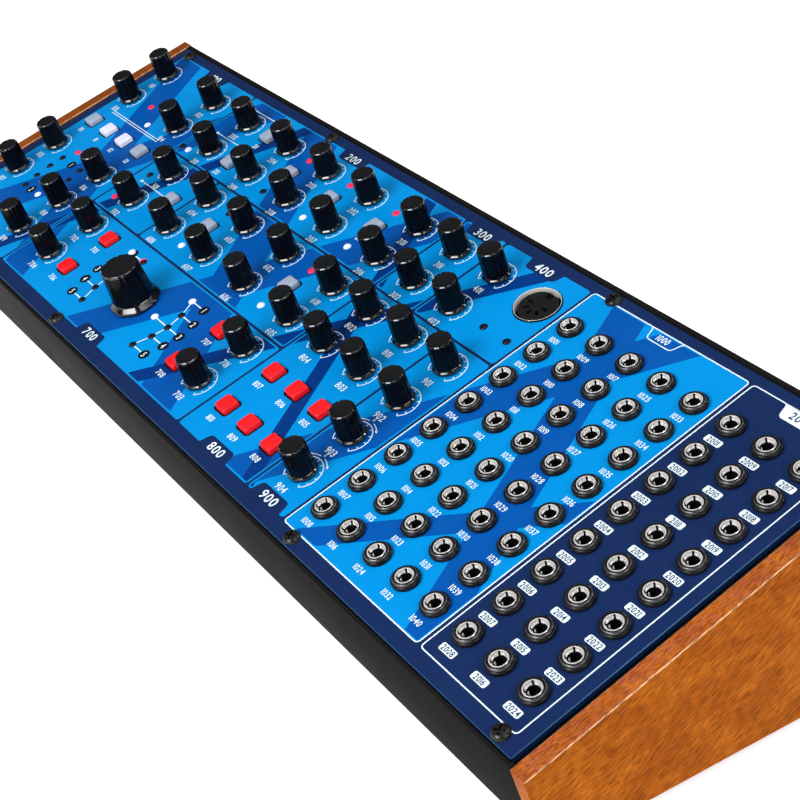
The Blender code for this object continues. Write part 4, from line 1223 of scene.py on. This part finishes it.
# %% Marks and screws behind
MARK_LEVEL, MARK_HEIGHT = 53.0, 2.8
marks = []
for k, x in enumerate((INLET, ROCKER, SQUARE, ROUND, *PHONES)):
    marks += number(k + 1, -x, MARK_LEVEL, MARK_HEIGHT)
print_ink("rear_marks", marks, -0.03, 0.03, white, REAR)
rear_screws = [behind(x, z) @ Matrix.Rotation(0.4 + x, 4, "Z")
               for x in (-184.0, -60.0, 84.5, 184.0) for z in (10.0, 70.0)]
stamped("rear_screws", head, rear_screws, [screw_black])
print("rear marks:", len(marks), "screws:", len(rear_screws))

# %% [markdown]
# Two CAD nodes show as they are: the rear board and the power rocker. Their shapes are
# right, so they only need a finish, dull for the board and glossy for the rocker.

# %% Finishes of the CAD nodes that stay
for node, material in (("rear_socket_board", moulding), ("power_rocker", gloss_black)):
    data = frame["nodes"][node].data
    data.materials.clear()
    data.materials.append(material)
print("kept nodes dressed")

# %% [markdown]
# ## Floor, light and sky
#
# The object stands on a plain white floor. A strong lamp could wash the floor white, but
# it would wash out the object too. So Light Path tells the rays apart: the camera and
# mirrors see the floor brighter than it lights the object, and it still takes a shadow.


# %% Floor
def shown_bright(tree):
    """The rays' kinds, and a mask of those that look straight at floor or sky."""
    path = add(tree, "LightPath")
    seen = maths(tree, "ADD", path["Is Camera Ray"], path["Is Glossy Ray"], clamp=True)
    return path, maths(tree, "ADD", seen, path["Is Transmission Ray"], clamp=True)


bpy.ops.mesh.primitive_plane_add(size=8.0, location=(0.0, 0.0, 0.0))
ground = bpy.context.object
ground.name = "floor"
paper, tree, shader = new_material("floor_paper")
bright = shown_bright(tree)[1]
feed(tree, shader, {"Base Color": (0.8, 0.8, 0.8, 1.0), "Roughness": 0.9,
                    "Emission Color": (1.0, 1.0, 1.0, 1.0),
                    "Emission Strength": maths(tree, "MULTIPLY", bright, 0.66)})
ground.data.materials.append(paper)
print("floor size:", ground.dimensions[:])

# %% [markdown]
# The world is an even pale light, which alone would leave gloss without a glint. A large
# softbox hangs over the panel, a second one stands low at the front right, and four narrow
# ones give the glints on knobs and nuts and the line along the cheek's edge. Mirror rays
# see white near the horizon and a dim ceiling above, as in a real studio.

# %% World and lamps
world = bpy.data.worlds.new("studio")
scene.world = world
world.use_nodes = True
tree = world.node_tree
path, bright = shown_bright(tree)
level = remap(tree, bright, 0.0, 1.0, 0.40, 1.0)
height = add(tree, "SeparateXYZ", {0: add(tree, "TexCoord")["Generated"]})[2]
ceiling = remap(tree, height, 0.02, 0.12, 0.4, 0.08)
mirrored = maths(tree, "ADD", path["Is Glossy Ray"], path["Is Transmission Ray"], clamp=True)
choose = add(tree, "Mix", {0: mirrored, 2: 1.0, 3: ceiling}, data_type="FLOAT")[0]
feed(tree, tree.nodes["Background"], {"Color": (1.0, 1.0, 1.0, 1.0),
                                      "Strength": maths(tree, "MULTIPLY", level, choose)})


def softbox(name, place, aim, size, power):
    """A rectangular soft light that faces a point."""
    light = bpy.data.lights.new(name, "AREA")
    light.shape = "RECTANGLE"
    light.size, light.size_y = size
    light.energy = power
    item = hold(light, name=name)
    item.location = place
    item.rotation_euler = (Vector(aim) - Vector(place)).to_track_quat("-Z", "Y").to_euler()


CENTRE = (0.05, 0.0, 0.05)
softbox("overhead", (0.3, 0.15, 1.5), CENTRE, (1.3, 1.0), 3.4)
softbox("front_right", (0.15, -1.02, 0.62), CENTRE, (0.6, 0.36), 8.2)
softbox("right", (0.78, -0.19, 1.04), CENTRE, (0.3, 0.12), 0.9)
softbox("front", (-0.12, -1.1, 1.1), CENTRE, (0.5, 0.06), 3.4)
softbox("rear_right", (0.35, 1.0, 1.0), CENTRE, (0.3, 0.08), 1.8)
softbox("edge", (1.28, 0.15, 0.9), (0.19, 0.0, 0.05), (0.6, 0.12), 3.6)
scene.view_settings.view_transform = "Standard"
print("lights:", len(bpy.data.lights))
